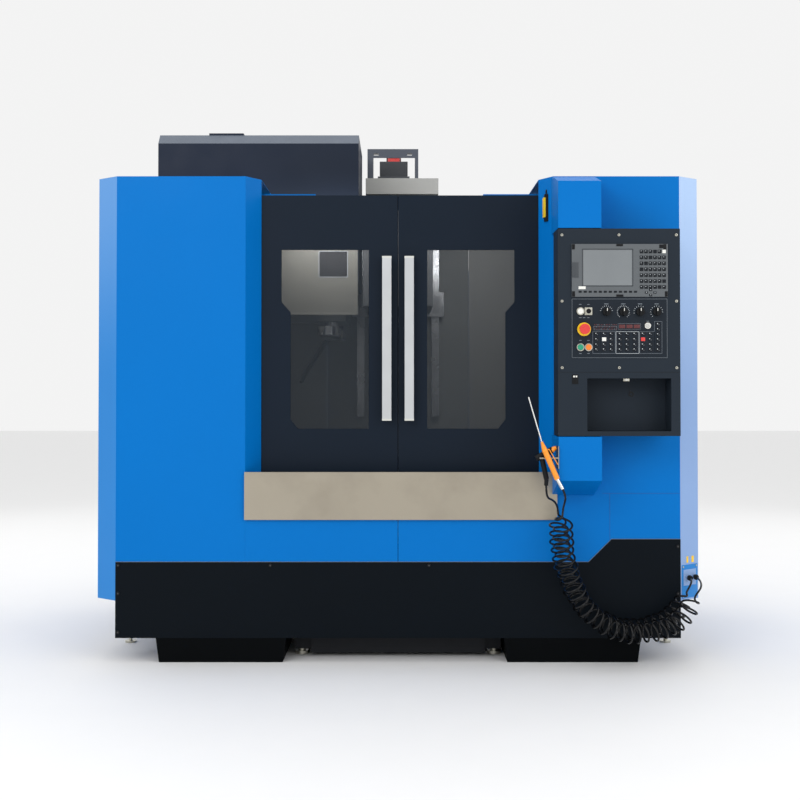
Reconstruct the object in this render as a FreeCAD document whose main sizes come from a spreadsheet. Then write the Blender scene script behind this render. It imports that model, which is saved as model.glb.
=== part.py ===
"""Vertical machining center with a full guard, a swivelling control panel and coiled gun hoses.

Millimetres, +Z up, operator's side towards -Y, origin on the floor under the middle of the machine.
Every height is above the floor.  A depth is counted from the front face of the cabinets, towards the
back, and `deep()` turns it into a Y of the machine.  `clearance` is the gap of every fit, and `over` is
how far a cutting solid reaches past the face that it opens.
"""
import math
import os
import re

import FreeCAD
import Part
import Sketcher
from FreeCAD import Placement, Rotation, Vector

DIMENSIONS = {
    "whole machine": dict(
        front_y=-995, body_width=2672, cabinet_top=2135, facet_bottom=268, sheet=3, clearance=0.3,
        over=1),
    "cabinets": dict(
        front_width=2480, facet_depth=78, cabinet_depth=1150, left_front_edge=672, right_front_edge=684,
        left_opening=612, right_opening=630, opening_depth=95, cabinet_foot=420, pocket_depth=150,
        left_roof_depth=540, roof_strip=166, foot_flange=150),
    "rear guard": dict(
        guard_depth=1500, guard_top=2100, guard_gap=20),
    "skirt and lower front": dict(
        skirt_bottom=105, skirt_top=438, skirt_step_height=538, skirt_step_foot=836, skirt_step_head=937,
        skirt_return=60, panel_foot=420, panel_head=640, panel_fold=30, panel_seam=1, lower_panel_edge=672,
        apron_left=674, apron_right=698, apron_bottom=623, apron_top=832, apron_proud=15, apron_sheet=2,
        apron_hem=15),
    "doors": dict(
        door_plane=100, door_thick=35, door_skin=2.5, door_bottom=815, door_top=2066,
        door_seam=1.5, left_door_width=638.5, right_door_width=656.5, pane_thick=8, pane_lap=18,
        pane_inner=131, pane_outer=522, pane_step=481, pane_step_low=1541, pane_step_high=1586,
        pane_bottom=1019, pane_corner_height=1061, pane_corner=448, pane_top=1820,
        handle_centre=50, handle_width=41, handle_thick=18, handle_bottom=1057, handle_top=1787,
        handle_proud=50, handle_post=14, handle_post_inset=45),
    "door tracks": dict(
        track_length=2350, track_bottom=2005, track_top=2062, gusset_top=2077,
        left_gusset_end=372, right_gusset_start=385, sill_bottom=800, sill_top=808,
        guide_rib_thick=8),
    "inner guard": dict(
        inner_width=2360, inner_floor=430, inner_top=2055, inner_mouth=1224, inner_sill=800,
        inner_back=1240, inner_gap=20),
    "bed": dict(
        bed_width=780, bed_front=125, bed_back=1950, bed_bottom=30, bed_top=500, bed_wall=40,
        bed_front_wall_foot=16, lug_reach=72, lug_length=100, lug_top=81, lug_front=20, lug_middle=900,
        lug_back=1690, screw_channel=150, y_channel_depth=95),
    "column": dict(
        column_width=760, column_front=1250, column_back=1900, column_top=2240, column_wall=40,
        z_channel_depth=85, seat_left=173, seat_right=216, seat_top=2325, seat_front=1170,
        seat_back=1400),
    "linear guides": dict(
        rail_width=40, rail_height=40, y_rail_spacing=600, y_rail_start=260, y_rail_length=950,
        x_rail_spacing=300, x_rail_length=1640, z_rail_spacing=400, z_rail_bottom=1050,
        z_rail_top=2150, block_length=130, block_width=90, block_grip=58, block_height=70),
    "axes": dict(
        table_centre_y=700, y_block_spacing=300, x_block_spacing=640,
        z_block_spacing=400, saddle_length=1640, saddle_depth=440, saddle_thick=130,
        x_channel_depth=62, table_length=1000, table_depth=500, table_rib_height=55, table_slab=75,
        table_rib=90, slot_count=5, slot_pitch=90, slot_width=18, slot_depth=30, slot_foot_width=30,
        slot_foot_height=13, y_screw_radius=20, x_screw_radius=18, z_screw_radius=20,
        y_screw_drop=40, x_screw_rise=5, x_servo_drop=40, z_screw_bottom=940, z_nut_reach=45,
        z_screw_depth=1268, z_axis_x=23, nut_width=100,
        nut_length=120, screw_end_gap=15),
    "drive motors": dict(
        servo_width=170, servo_length=220, z_servo_height=94, encoder_radius=39, encoder_height=39,
        bracket_left=141, bracket_right=132, bracket_leg=17, bracket_left_leg=30, bracket_top=2486,
        bracket_bar=48, bracket_depth=150, bracket_slot_width=26, bracket_slot_height=12,
        z_servo_flange=12, z_servo_margin=12, bracket_slot_inset=34),
    "spindle head": dict(
        head_width=340, head_front=565, head_back=1180, head_bottom=1600, head_top=2100,
        nose_radius=95, nose_bottom=1520, spindle_depth=700, spindle_radius=50, spindle_length=480,
        spindle_nose=12, taper_mouth=22.2, taper_tip=12.7, taper_depth=66, head_wall=30,
        motor_bay_front=830, spindle_motor_width=220, spindle_motor_depth=980,
        spindle_motor_bottom=1700, spindle_motor_height=330),
    "tool changer": dict(
        cover_left=1164, cover_right=191, cover_front=550, cover_back=1150, cover_bottom=1700,
        cover_top=2438, cover_slope_start=2389, cover_slope_depth=46, disc_x=650, disc_height=1985,
        disc_radius=365, disc_front=772, disc_thick=18, disc_hub_radius=70, disc_hub_proud=25,
        disc_shaft_radius=30,
        pot_count=24, pot_circle=330, pot_radius=33, pot_bore=23, pot_length=92, pot_depth=75,
        changer_plate_front=850, changer_plate_thick=30, changer_left=760, changer_bottom=1530,
        changer_top=2070, gearbox_left=395, gearbox_right=257, gearbox_front=640, gearbox_top=1685,
        arm_x=325, arm_height=1450, arm_thick=40, arm_reach=325, arm_width=90, arm_hub_radius=58,
        arm_shaft_radius=30, arm_shaft_gap=45, arm_bore_gap=20, arm_grip_radius=34, arm_claw=52,
        arm_mouth_reach=57.2, arm_mouth_half=27.2),
    "coolant tanks": dict(
        left_tank_outer=1062, left_tank_inner=491, right_tank_inner=465, right_tank_outer=1065,
        tank_taper=14, tank_height=104.7, tank_front=-2, tank_back=1100, tank_wall=3),
    "feet": dict(
        pad_radius=32, pad_height=14, stud_radius=11, stud_top=112, stud_slack=1, nut_radius=18,
        nut_height=16,
        stud_inset=46, guard_pad_radius=26, guard_pad_height=8, guard_stud_radius=8,
        guard_foot_inset=71, guard_foot_front=440, guard_foot_back=1040),
    "electrical cabinet": dict(
        box_width=860, box_front=1900, box_back=2215, box_top=1900, box_door_thick=28,
        hinge_radius=7, hinge_length=90, hinge_inset=200, hinge_strap=8,
        box_handle_height=160,
        box_handle_width=26, box_handle_proud=15, box_handle_inset=60),
    "panel arms": dict(
        arm_box_left=677, arm_box_right=860, arm_box_front=228, arm_gap=3,
        upper_arm_front_top=2077, upper_arm_back_top=2121, upper_arm_slope=168, lower_arm_bottom=809,
        lower_arm_back_bottom=730, pivot_x=768, pivot_front=150, pivot_radius=25,
        pivot_reach=15),
    "control panel": dict(
        panel_left=675, panel_right=1191, panel_low=998, panel_high=1874, panel_face=230,
        panel_deep=142, panel_sheet=3, pocket_left=798, pocket_right=1152, pocket_bottom=1018,
        pocket_top=1241, pocket_deep=118, centre_x=933, display_left=200,
        display_right=205, display_low=149, display_high=372, display_proud=7, display_body=55,
        bezel_lap=6, plate_left=200, plate_right=203, plate_low=-109, plate_high=141,
        plate_thick=3, plate_lap=12, screen_left=155, screen_right=57, screen_low=194,
        screen_high=350, screen_sink=3, key_rows=7, key_columns=6, key_left=94, key_pitch=19,
        key_high=340, key_drop=25, key_width=13, key_height=1.5),
    "controls": dict(
        button_radius=12, button_bezel=15.4, button_bezel_height=5, button_proud=9, button_tail=12,
        stop_radius=22, stop_height=14, stop_stem=11, stop_proud=34, stop_collar=26.5,
        stop_collar_height=4, knob_radius=17, knob_height=16, knob_grip_width=8,
        knob_grip_height=9, knob_grip_half=15.3, knob_shaft=3, key_switch_radius=8.5, key_switch_proud=7,
        key_switch_ring=12.5, key_slot_width=2.4, key_slot_length=9, control_tail=20),
    "guns": dict(
        air_gun_front=250, air_tube_radius=3, air_body_radius=12.7, air_grip_radius=11.5,
        air_coupler_radius=8, coolant_gun_front=215, coolant_barrel_radius=13.7,
        coolant_grip_radius=11, coolant_fitting_radius=9, trigger_thick=3, trigger_width=10,
        trigger_pin=2.5, collar_step=2, air_lever_length=74,
        air_lever_flare=8, coolant_tip_length=22, coolant_tip_radius=7, coolant_trigger_start=62,
        coolant_trigger_forward=5, coolant_trigger_length=46, peg_radius=3.7,
        peg_length=78, peg_height=905, peg_front=233,
        holder_bottom=860, holder_top=955, holder_back=150, holder_front=240),
    "hoses": dict(
        hose_radius=4.5, coil_radius=42, fitting_radius=9, fitting_length=34, fitting_plate_width=86,
        fitting_plate_height=70, fitting_plate_thick=3, fitting_plate_inset=18, fitting_height=366,
        fitting_left=1283,
        fitting_right=1316, fitting_nut_radius=12, fitting_nut_length=10,
        fitting_nut_thick=2),
}

# Centres of the controls, right of and above the middle of the control panel.
CONTROL_PLACES = {
    "white_button": (-164, 88),
    "green_button": (-164, -64),
    "orange_button": (-130, -64),
    "emergency_stop": (-149, 12),
    "mode_knob": (-54, 85),
    "feed_knob": (17.5, 85),
    "rapid_knob": (88, 85),
    "spindle_knob": (158, 85),
    "key_switch": (120, 27),
}
BUTTONS = ("white_button", "green_button", "orange_button")
KNOBS = ("mode_knob", "feed_knob", "rapid_knob", "spindle_knob")

# Routes of the two hoses, chosen by hand: x, depth from the cabinet fronts (minus is in front), height.
# The first and last stretches are plain hose, the middle one is the axis of the coil.
AIR_HOSE = {
    "wall_lead": [(1316, 27.4, 366), (1318, -10, 364), (1317, -48, 358), (1311, -86, 348),
                  (1296, -120, 334), (1272, -146, 318)],
    "coil": [(1272, -146, 318), (1232, -154, 236), (1150, -158, 178), (1040, -161, 152),
             (926, -164, 166), (826, -169, 226), (756, -174, 328), (716, -178, 440),
             (699, -182, 560), (698, -186, 676)],
    "gun_lead": [(698, -186, 676), (702, -204, 706), (706, -228, 732), (702, -246, 752),
                 (691, -250, 776)],
}
COOLANT_HOSE = {
    "wall_lead": [(1283, 0.5, 366), (1282, -34, 362), (1270, -58, 344), (1252, -62, 318)],
    "coil": [(1252, -62, 318), (1216, -62, 240), (1140, -63, 182), (1036, -65, 154),
             (924, -69, 168), (822, -74, 228), (752, -79, 330), (712, -84, 442),
             (695, -88, 562), (692, -92, 664)],
    "gun_lead": [(692, -92, 664), (684, -112, 700), (662, -146, 722), (636, -190, 732),
                 (626.5, -211, 757), (625.4, -215, 788)],
}

# Points of the guns' middle lines: x and height.  Each gun hangs in a plane of its own depth.
AIR_GUN = {"tip": (548, 1162), "neck": (603, 975), "shoulder": (617, 936), "grip_end": (668, 818),
           "coupler_end": (690.5, 776.6)}
COOLANT_GUN = {"rear": (584, 902), "mouth": (668, 949), "heel": (606, 912), "foot": (627, 816),
               "hose_end": (625.5, 788.6)}

CUT_BACK_SHARE = 0.45
VOLUME_TOLERANCE = 0.01

doc = FreeCAD.newDocument("machining_center")
sheet = doc.addObject("Spreadsheet::Sheet", "dims")
ALIASES = set()
SUBPARTS = {}


def fill_sheet():
    """Writes every driving dimension into the sheet as a plain number with an alias."""
    rows = []
    for title, sizes in DIMENSIONS.items():
        rows.append((title, None, None))
        rows += [(title, alias, size) for alias, size in sizes.items()]
    for name, (right, up) in CONTROL_PLACES.items():
        rows.append(("control places", name + "_right", right))
        rows.append(("control places", name + "_up", up))
    for line, (title, alias, size) in enumerate(rows, start=1):
        sheet.set(f"A{line}", title)
        if alias:
            sheet.set(f"B{line}", str(size))
            sheet.setAlias(f"B{line}", alias)
            ALIASES.add(alias)
    doc.recompute()


def full(expression):
    """Expression with each alias written as the sheet's."""
    def swap(word):
        return "dims." + word.group() if word.group() in ALIASES else word.group()
    return re.sub(r"[a-z][a-z_]*", swap, str(expression))


def number(expression):
    """Value of an expression in plain millimetres."""
    return float(sheet.evalExpression(full(expression)))


def deep(depth):
    """Y of a depth counted from the front face of the cabinets."""
    return f"front_y + ({depth})"


def at(x, depth, height):
    return (x, deep(depth), height)


def bind(item, prop, expression):
    item.setExpression(prop, full(expression))


def place(item, corner, rotation=None):
    """Puts an object at a point given by three expressions."""
    item.Placement = Placement(Vector(), rotation or Rotation())
    for axis, expression in zip("xyz", corner):
        bind(item, f".Placement.Base.{axis}", expression)
    return item


def box(label, low, high):
    """Block between two corners."""
    item = doc.addObject("Part::Box", label)
    for side, start, end in zip(("Length", "Width", "Height"), low, high):
        bind(item, side, f"({end}) - ({start})")
    return place(item, low)


TURNS = {
    "x": Rotation(Vector(0, 1, 0), 90),
    "y": Rotation(Vector(1, 0, 0), -90),
    "z": Rotation(),
}


def rod(label, radius, start, length, axis="z"):
    """Round bar that runs from a point along +X, +Y or +Z."""
    item = doc.addObject("Part::Cylinder", label)
    bind(item, "Radius", radius)
    bind(item, "Height", length)
    return place(item, start, TURNS[axis])


def fuse(label, *items):
    item = doc.addObject("Part::MultiFuse", label)
    item.Shapes = list(items)
    item.Refine = True
    return item


def cut(label, base, *tools):
    """Base without its tools."""
    item = doc.addObject("Part::Cut", label)
    item.Base = base
    item.Tool = tools[0] if len(tools) == 1 else fuse(label + "_tools", *tools)
    item.Refine = True
    return item


def group(label, *items):
    """Separate solids that share one name."""
    item = doc.addObject("Part::Compound", label)
    item.Links = list(items)
    return item


def shell_box(label, low, high, wall, open_sides=()):
    """Folded-sheet box whose listed sides, such as '+y', are left open."""
    inner_low = []
    inner_high = []
    for axis, start, end in zip("xyz", low, high):
        low_sign = "-" if "-" + axis in open_sides else "+"
        high_sign = "+" if "+" + axis in open_sides else "-"
        inner_low.append(f"({start}) {low_sign} {wall}")
        inner_high.append(f"({end}) {high_sign} {wall}")
    outer = box(label + "_outer", low, high)
    inner = box(label + "_inner", inner_low, inner_high)
    return cut(label, outer, inner)


PLANES = {
    "XY": ("XY_Plane", "z", False),
    "XZ": ("XZ_Plane", "y", True),
    "YZ": ("YZ_Plane", "x", False),
}


def draw_outline(sketch, corners):
    """Closed polygon whose corners are bound to the sheet."""
    first = sketch.GeometryCount
    spots = [Vector(number(a), number(b), 0) for a, b in corners]
    count = len(corners)
    for index in range(count):
        sketch.addGeometry(Part.LineSegment(spots[index], spots[(index + 1) % count]))
    for index in range(count):
        after = first + (index + 1) % count
        sketch.addConstraint(Sketcher.Constraint("Coincident", first + index, 2, after, 1))
    for index, corner in enumerate(corners):
        for kind, spot, expression in zip(("DistanceX", "DistanceY"), spots[index], corner):
            line = sketch.addConstraint(
                Sketcher.Constraint(kind, -1, 1, first + index, 1, spot))
            sketch.renameConstraint(line, f"{kind}_{first + index}")
            bind(sketch, f"Constraints.{kind}_{first + index}", expression)


def draw_circle(sketch, right, up, radius):
    """Circle whose centre and radius are bound to the sheet."""
    centre = Vector(number(right), number(up), 0)
    index = sketch.addGeometry(Part.Circle(centre, Vector(0, 0, 1), number(radius)))
    for kind, expression in (("DistanceX", right), ("DistanceY", up)):
        line = sketch.addConstraint(Sketcher.Constraint(kind, -1, 1, index, 3, number(expression)))
        sketch.renameConstraint(line, f"{kind}_{index}")
        bind(sketch, f"Constraints.{kind}_{index}", expression)
    line = sketch.addConstraint(Sketcher.Constraint("Radius", index, number(radius)))
    sketch.renameConstraint(line, f"Radius_{index}")
    bind(sketch, f"Constraints.Radius_{index}", radius)


def prism(label, plane, outlines, start, end, circles=()):
    """Padded sketch: the first outline is the edge, further outlines and circles are holes."""
    role, axis, backwards = PLANES[plane]
    body = doc.addObject("PartDesign::Body", label)
    sketch = body.newObject("Sketcher::SketchObject", label + "_sketch")
    support = next(item for item in body.Origin.OriginFeatures if item.Role == role)
    sketch.AttachmentSupport = [(support, "")]
    sketch.MapMode = "FlatFace"
    for corners in outlines:
        draw_outline(sketch, corners)
    for right, up, radius in circles:
        draw_circle(sketch, right, up, radius)
    pad = body.newObject("PartDesign::Pad", label + "_pad")
    pad.Profile = sketch
    bind(pad, "Length", f"({end}) - ({start})")
    pad.Reversed = backwards
    bind(body, f".Placement.Base.{axis}", start)
    return body


def subpart(name, item):
    """Registers a finished sub-part under the name of its file."""
    item.Label = name
    SUBPARTS[name] = item
    return item


def rectangle(left, low, right, high):
    return [(left, low), (right, low), (right, high), (left, high)]


# ---------------------------------------------------------------- guard

def cabinet(side, sign, front_edge, opening, roof_back):
    """Front cabinet of folded sheet; roof_back gives the roof's rear corners from the side inwards."""
    name = f"{side}_cabinet"
    wall = "sheet"
    outer = [
        (opening, "opening_depth"), (front_edge, "0"), ("front_width / 2", "0"),
        ("body_width / 2", "facet_depth"), ("body_width / 2", "cabinet_depth")]
    inner = [
        (f"body_width / 2 - {wall}", "cabinet_depth"),
        (f"body_width / 2 - {wall}", f"facet_depth + {wall} / 2"),
        (f"front_width / 2 - {wall} / 2", wall), (f"{front_edge} + {wall} / 2", wall),
        (f"{opening} + {wall}", "opening_depth")]
    ring = [(f"{sign} * ({x})", deep(depth)) for x, depth in outer + inner]
    walls = prism(name + "_walls", "XY", [ring], "facet_bottom", "cabinet_top")
    roof_line = outer + roof_back
    roof = prism(name + "_roof", "XY", [[(f"{sign} * ({x})", deep(depth)) for x, depth in roof_line]],
                 "cabinet_top - sheet", "cabinet_top")
    flange_line = [
        ("body_width / 2", "facet_depth"), ("body_width / 2", "cabinet_depth"),
        ("body_width / 2 - foot_flange", "cabinet_depth"), ("body_width / 2 - foot_flange", "facet_depth")]
    flange = prism(name + "_flange", "XY", [[(f"{sign} * ({x})", deep(depth)) for x, depth in flange_line]],
                   "facet_bottom", "facet_bottom + sheet")
    low_x, high_x = ("-front_width / 2", "0") if sign < 0 else ("0", "front_width / 2")
    foot_room = box(name + "_foot_room", at(low_x, "-sheet", "facet_bottom - sheet"),
                    at(high_x, "facet_depth - sheet", "cabinet_foot"))
    whole = fuse(name + "_whole", walls, roof, flange)
    edges = [f"{sign} * ({opening} - sheet)", f"{sign} * {front_edge}"]
    low_x, high_x = reversed(edges) if sign < 0 else edges
    facet_room = box(name + "_facet_room", at(low_x, "-sheet", "facet_bottom - sheet"),
                     at(high_x, "opening_depth + sheet", "panel_head"))
    subpart(name, cut(name, whole, foot_room, facet_room))


def build_rear_guard():
    """Side and rear walls behind the cabinets, one folded shell each side of the column."""
    halves = []
    for side, sign in (("left", -1), ("right", 1)):
        edges = [f"{sign} * body_width / 2", f"{sign} * (column_width / 2 + guard_gap)"]
        low_x, high_x = edges if sign < 0 else reversed(edges)
        near = "+x" if sign < 0 else "-x"
        halves.append(shell_box(
            f"rear_guard_{side}", at(low_x, "cabinet_depth", "facet_bottom"),
            at(high_x, "guard_depth", "guard_top"), "sheet", ("-y", "-z", near)))
    subpart("rear_guard", group("rear_guard", *halves))


def build_lower_front():
    """Blue panels under the apron, the stainless apron and the black skirt."""
    panels = []
    for side, low_x, high_x in (("left", "-lower_panel_edge", "-panel_seam"),
                                ("right", "panel_seam", "right_front_edge")):
        panels.append(shell_box(
            f"lower_panel_{side}", at(low_x, "0", "panel_foot"), at(high_x, "panel_fold", "panel_head"),
            "sheet", ("+y",)))
    subpart("lower_front_panels", group("lower_front_panels", *panels))

    apron = [
        ("-apron_proud", "apron_bottom"), ("0", "apron_bottom"),
        ("0", "apron_bottom + apron_sheet"), ("-apron_proud + apron_sheet", "apron_bottom + apron_sheet"),
        ("-apron_proud + apron_sheet", "apron_top - apron_sheet"),
        ("-apron_proud + apron_hem", "apron_top - apron_sheet"),
        ("-apron_proud + apron_hem", "apron_top"), ("-apron_proud", "apron_top")]
    face = prism("apron_face", "YZ", [[(deep(depth), height) for depth, height in apron]],
                 "-apron_left", "apron_right")
    ends = []
    for side, x in (("left", "-apron_left"), ("right", "apron_right - apron_sheet")):
        ends.append(box(f"apron_{side}_end", at(x, "-apron_proud", "apron_bottom"),
                        at(f"{x} + apron_sheet", "0", "apron_top")))
    subpart("apron", fuse("apron", face, *ends))

    outline = [
        ("-front_width / 2", "skirt_bottom"), ("front_width / 2", "skirt_bottom"),
        ("front_width / 2", "skirt_step_height"), ("skirt_step_head", "skirt_step_height"),
        ("skirt_step_foot", "skirt_top"), ("-front_width / 2", "skirt_top")]
    plate = prism("skirt_plate", "XZ", [outline], deep("-sheet"), deep("0"))
    returns = []
    for side, x in (("left", "-front_width / 2"), ("right", "front_width / 2 - sheet")):
        returns.append(box(f"skirt_{side}_return", at(x, "-sheet", "skirt_bottom"),
                           at(f"{x} + sheet", "skirt_return", "facet_bottom - clearance")))
    subpart("base_skirt", fuse("base_skirt", plate, *returns))


def build_inner_guard():
    """Stainless lining of the work space, with the mouth at the doors and the bed's cut-out."""
    outer = rectangle("-inner_width / 2", deep("pocket_depth"), "inner_width / 2", deep("inner_back"))
    inner = rectangle("-inner_width / 2 + sheet", deep("pocket_depth + sheet"),
                      "inner_width / 2 - sheet", deep("inner_back - sheet"))
    walls = prism("inner_guard_walls", "XY", [outer, inner], "inner_floor", "inner_top")
    floor = prism("inner_guard_floor", "XY", [outer], "inner_floor", "inner_floor + sheet")
    whole = fuse("inner_guard_whole", walls, floor)
    mouth = box("inner_guard_mouth", at("-inner_mouth / 2", "pocket_depth - sheet", "inner_sill"),
                at("inner_mouth / 2", "pocket_depth + 2 * sheet", "inner_top + sheet"))
    back = box("inner_guard_back", at("-column_width / 2 - inner_gap", "inner_back - 2 * sheet",
                                      "inner_floor - sheet"),
               at("column_width / 2 + inner_gap", "inner_back + sheet", "inner_top + sheet"))
    bed_room = box("inner_guard_bed_room", at("-bed_width / 2 - clearance", "pocket_depth + 2 * sheet",
                                              "inner_floor - sheet"),
                   at("bed_width / 2 + clearance", "inner_back + sheet", "inner_floor + 2 * sheet"))
    front_room = box("inner_guard_front_room",
                     at("-bed_width / 2 - clearance", "pocket_depth - sheet", "inner_floor - sheet"),
                     at("bed_width / 2 + clearance", "pocket_depth + 3 * sheet", "bed_top + clearance"))
    subpart("inner_guard", cut("inner_guard", whole, mouth, back, bed_room, front_room))


def build_door_tracks():
    """Upper rail with its two gussets, and the lower sill with the rib that guides the doors."""
    rail_front = "door_plane + door_thick + clearance"
    rail = box("door_rail", at("-track_length / 2", rail_front, "track_bottom"),
               at("track_length / 2", "pocket_depth", "track_top"))
    left = box("door_left_gusset", at("-left_opening", rail_front, "track_bottom"),
               at("-left_gusset_end", "pocket_depth", "gusset_top"))
    right = box("door_right_gusset", at("right_gusset_start", rail_front, "track_bottom"),
                at("right_opening", "pocket_depth", "gusset_top"))
    upper = fuse("door_upper_track", rail, left, right)
    plate = box("door_sill_plate", at("-track_length / 2", "opening_depth + clearance", "sill_bottom"),
                at("track_length / 2", "pocket_depth", "sill_top"))
    rib_middle = "door_plane + door_thick / 2"
    rib = box("door_sill_rib", at("-track_length / 2", f"{rib_middle} - guide_rib_thick / 2", "sill_top"),
              at("track_length / 2", f"{rib_middle} + guide_rib_thick / 2", "door_bottom - clearance"))
    lower = fuse("door_lower_track", plate, rib)
    subpart("door_tracks", group("door_tracks", upper, lower))


def pane_outline(sign, margin):
    """Window outline with its stepped outer edge and cut lower corner, grown by a margin."""
    corners = [
        (f"pane_inner - {margin}", f"pane_bottom - {margin}"),
        (f"pane_corner + {margin} / 2", f"pane_bottom - {margin}"),
        (f"pane_step + {margin}", f"pane_corner_height - {margin} / 2"),
        (f"pane_step + {margin}", f"pane_step_low - {margin} / 2"),
        (f"pane_outer + {margin}", f"pane_step_high - {margin} / 2"),
        (f"pane_outer + {margin}", f"pane_top + {margin}"),
        (f"pane_inner - {margin}", f"pane_top + {margin}")]
    return [(f"{sign} * ({x})", height) for x, height in corners]


def build_door(side, sign, width):
    """Sliding door of folded sheet, its pane behind the skin and its bar handle."""
    name = f"{side}_door"
    back = "door_plane + door_thick"
    edges = [f"{sign} * door_seam", f"{sign} * (door_seam + {width})"]
    low_x, high_x = edges if sign > 0 else reversed(edges)
    tray = shell_box(name + "_tray", at(low_x, "door_plane", "door_bottom"), at(high_x, back, "door_top"),
                     "door_skin", ("+y",))
    window = prism(name + "_window", "XZ", [pane_outline(sign, "0")], deep("door_plane - over"),
                   deep("door_plane + door_skin + over"))
    subpart(name, cut(name, tray, window))

    pane_front = "door_plane + door_skin"
    subpart(f"{side}_window", prism(f"{side}_window", "XZ", [pane_outline(sign, "pane_lap")],
                                    deep(pane_front), deep(f"{pane_front} + pane_thick")))

    bar = f"{side}_handle"
    middle = f"{sign} * handle_centre"
    proud = "door_plane - handle_proud"
    grip = box(bar + "_bar", at(f"{middle} - handle_width / 2", proud, "handle_bottom"),
               at(f"{middle} + handle_width / 2", f"{proud} + handle_thick", "handle_top"))
    posts = []
    for end, height in (("low", "handle_bottom + handle_post_inset"),
                        ("high", "handle_top - handle_post_inset")):
        posts.append(rod(f"{bar}_{end}_post", "handle_post",
                         at(middle, f"{proud} + handle_thick / 2", height),
                         "handle_proud - handle_thick / 2", "y"))
    subpart(bar, fuse(bar, grip, *posts))


# ---------------------------------------------------------------- castings and axes

BLOCK_SIDE = "block_width / 2"


def build_bed():
    """Bed casting, hollow from below, with levelling lugs and the trough of the Y screw."""
    half = "bed_width / 2"
    outer = box("bed_block", at(f"-{half}", "bed_front", "bed_bottom"), at(half, "bed_back", "bed_top"))
    front_beam = box("bed_front_beam", at(f"-{half}", "bed_front", "bed_front_wall_foot"),
                     at(half, "bed_front + bed_wall", "bed_bottom + bed_wall"))
    lugs = []
    for row in ("lug_front", "lug_middle", "lug_back"):
        start = f"bed_front + {row}"
        lugs.append(box(f"bed_{row}", at(f"-{half} - lug_reach", start, "bed_bottom"),
                        at(f"{half} + lug_reach", f"{start} + lug_length", "lug_top")))
    hollow = box("bed_hollow", at(f"-{half} + bed_wall", "bed_front + bed_wall", "bed_bottom - bed_wall"),
                 at(f"{half} - bed_wall", "bed_back - bed_wall", "bed_top - y_channel_depth - bed_wall"))
    trough = box("bed_trough", at("-screw_channel / 2", "bed_front + bed_wall",
                                  "bed_top - y_channel_depth"),
                 at("screw_channel / 2", "column_front", "bed_top + bed_wall"))
    holes = []
    for row in ("lug_front", "lug_middle", "lug_back"):
        for side, x in (("left", f"-{half} - stud_inset"), ("right", f"{half} + stud_inset")):
            holes.append(rod(f"bed_{row}_{side}_hole", "stud_radius + stud_slack",
                             at(x, f"bed_front + {row} + lug_length / 2", "0"), "lug_top + over"))
    whole = fuse("bed_whole", outer, front_beam, *lugs)
    subpart("bed", cut("bed", whole, hollow, trough, *holes))


def build_column():
    """Column casting with the trough of the Z screw and the raised seat of the Z motor."""
    half = "column_width / 2"
    outer = box("column_block", at(f"-{half}", "column_front", "bed_top"),
                at(half, "column_back", "column_top"))
    seat = box("column_seat", at("-seat_left", "seat_front", "column_top"),
               at("seat_right", "seat_back", "seat_top"))
    hollow = box("column_hollow",
                 at(f"-{half} + column_wall", "column_front + z_channel_depth + column_wall",
                    "bed_top - over"),
                 at(f"{half} - column_wall", "column_back - column_wall", "column_top - column_wall"))
    trough = box("column_trough",
                 at("-z_axis_x - screw_channel / 2", "column_front - over", "bed_top + column_wall"),
                 at("-z_axis_x + screw_channel / 2", "column_front + z_channel_depth", "column_top"))
    bore = rod("column_screw_bore", "z_screw_radius + clearance",
               at("-z_axis_x", "z_screw_depth", "column_top - over"), "seat_top - column_top + 2 * over")
    whole = fuse("column_whole", outer, seat)
    subpart("column", cut("column", whole, hollow, trough, bore))


def build_rails():
    """Linear guide rails: Y and Z ones on the frame, X ones counted with the saddle's guides."""
    rails = []
    for side, sign in (("left", -1), ("right", 1)):
        middle = f"{sign} * y_rail_spacing / 2"
        rails.append(box(f"y_rail_{side}", at(f"{middle} - rail_width / 2", "y_rail_start", "bed_top"),
                         at(f"{middle} + rail_width / 2", "y_rail_start + y_rail_length",
                            "bed_top + rail_height")))
        middle = f"{sign} * z_rail_spacing / 2"
        rails.append(box(f"z_rail_{side}",
                         at(f"{middle} - rail_width / 2", "column_front - rail_height", "z_rail_bottom"),
                         at(f"{middle} + rail_width / 2", "column_front", "z_rail_top")))
    subpart("guide_rails", group("guide_rails", *rails))


def carriage(label, low, high, slot_low, slot_high):
    """Guide block with the slot that straddles its rail."""
    block = box(label + "_block", low, high)
    slot = box(label + "_slot", slot_low, slot_high)
    return cut(label, block, slot)


SADDLE_BOTTOM = "bed_top + block_height"
SADDLE_TOP = f"{SADDLE_BOTTOM} + saddle_thick"
TABLE_BOTTOM = f"{SADDLE_TOP} + block_height"
TABLE_TOP = f"{TABLE_BOTTOM} + table_rib_height + table_slab"
Y_SCREW_HEIGHT = "bed_top - y_screw_drop"
X_SCREW_HEIGHT = f"{SADDLE_TOP} + x_screw_rise"
GRIP = "(rail_width / 2 + clearance)"


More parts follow.
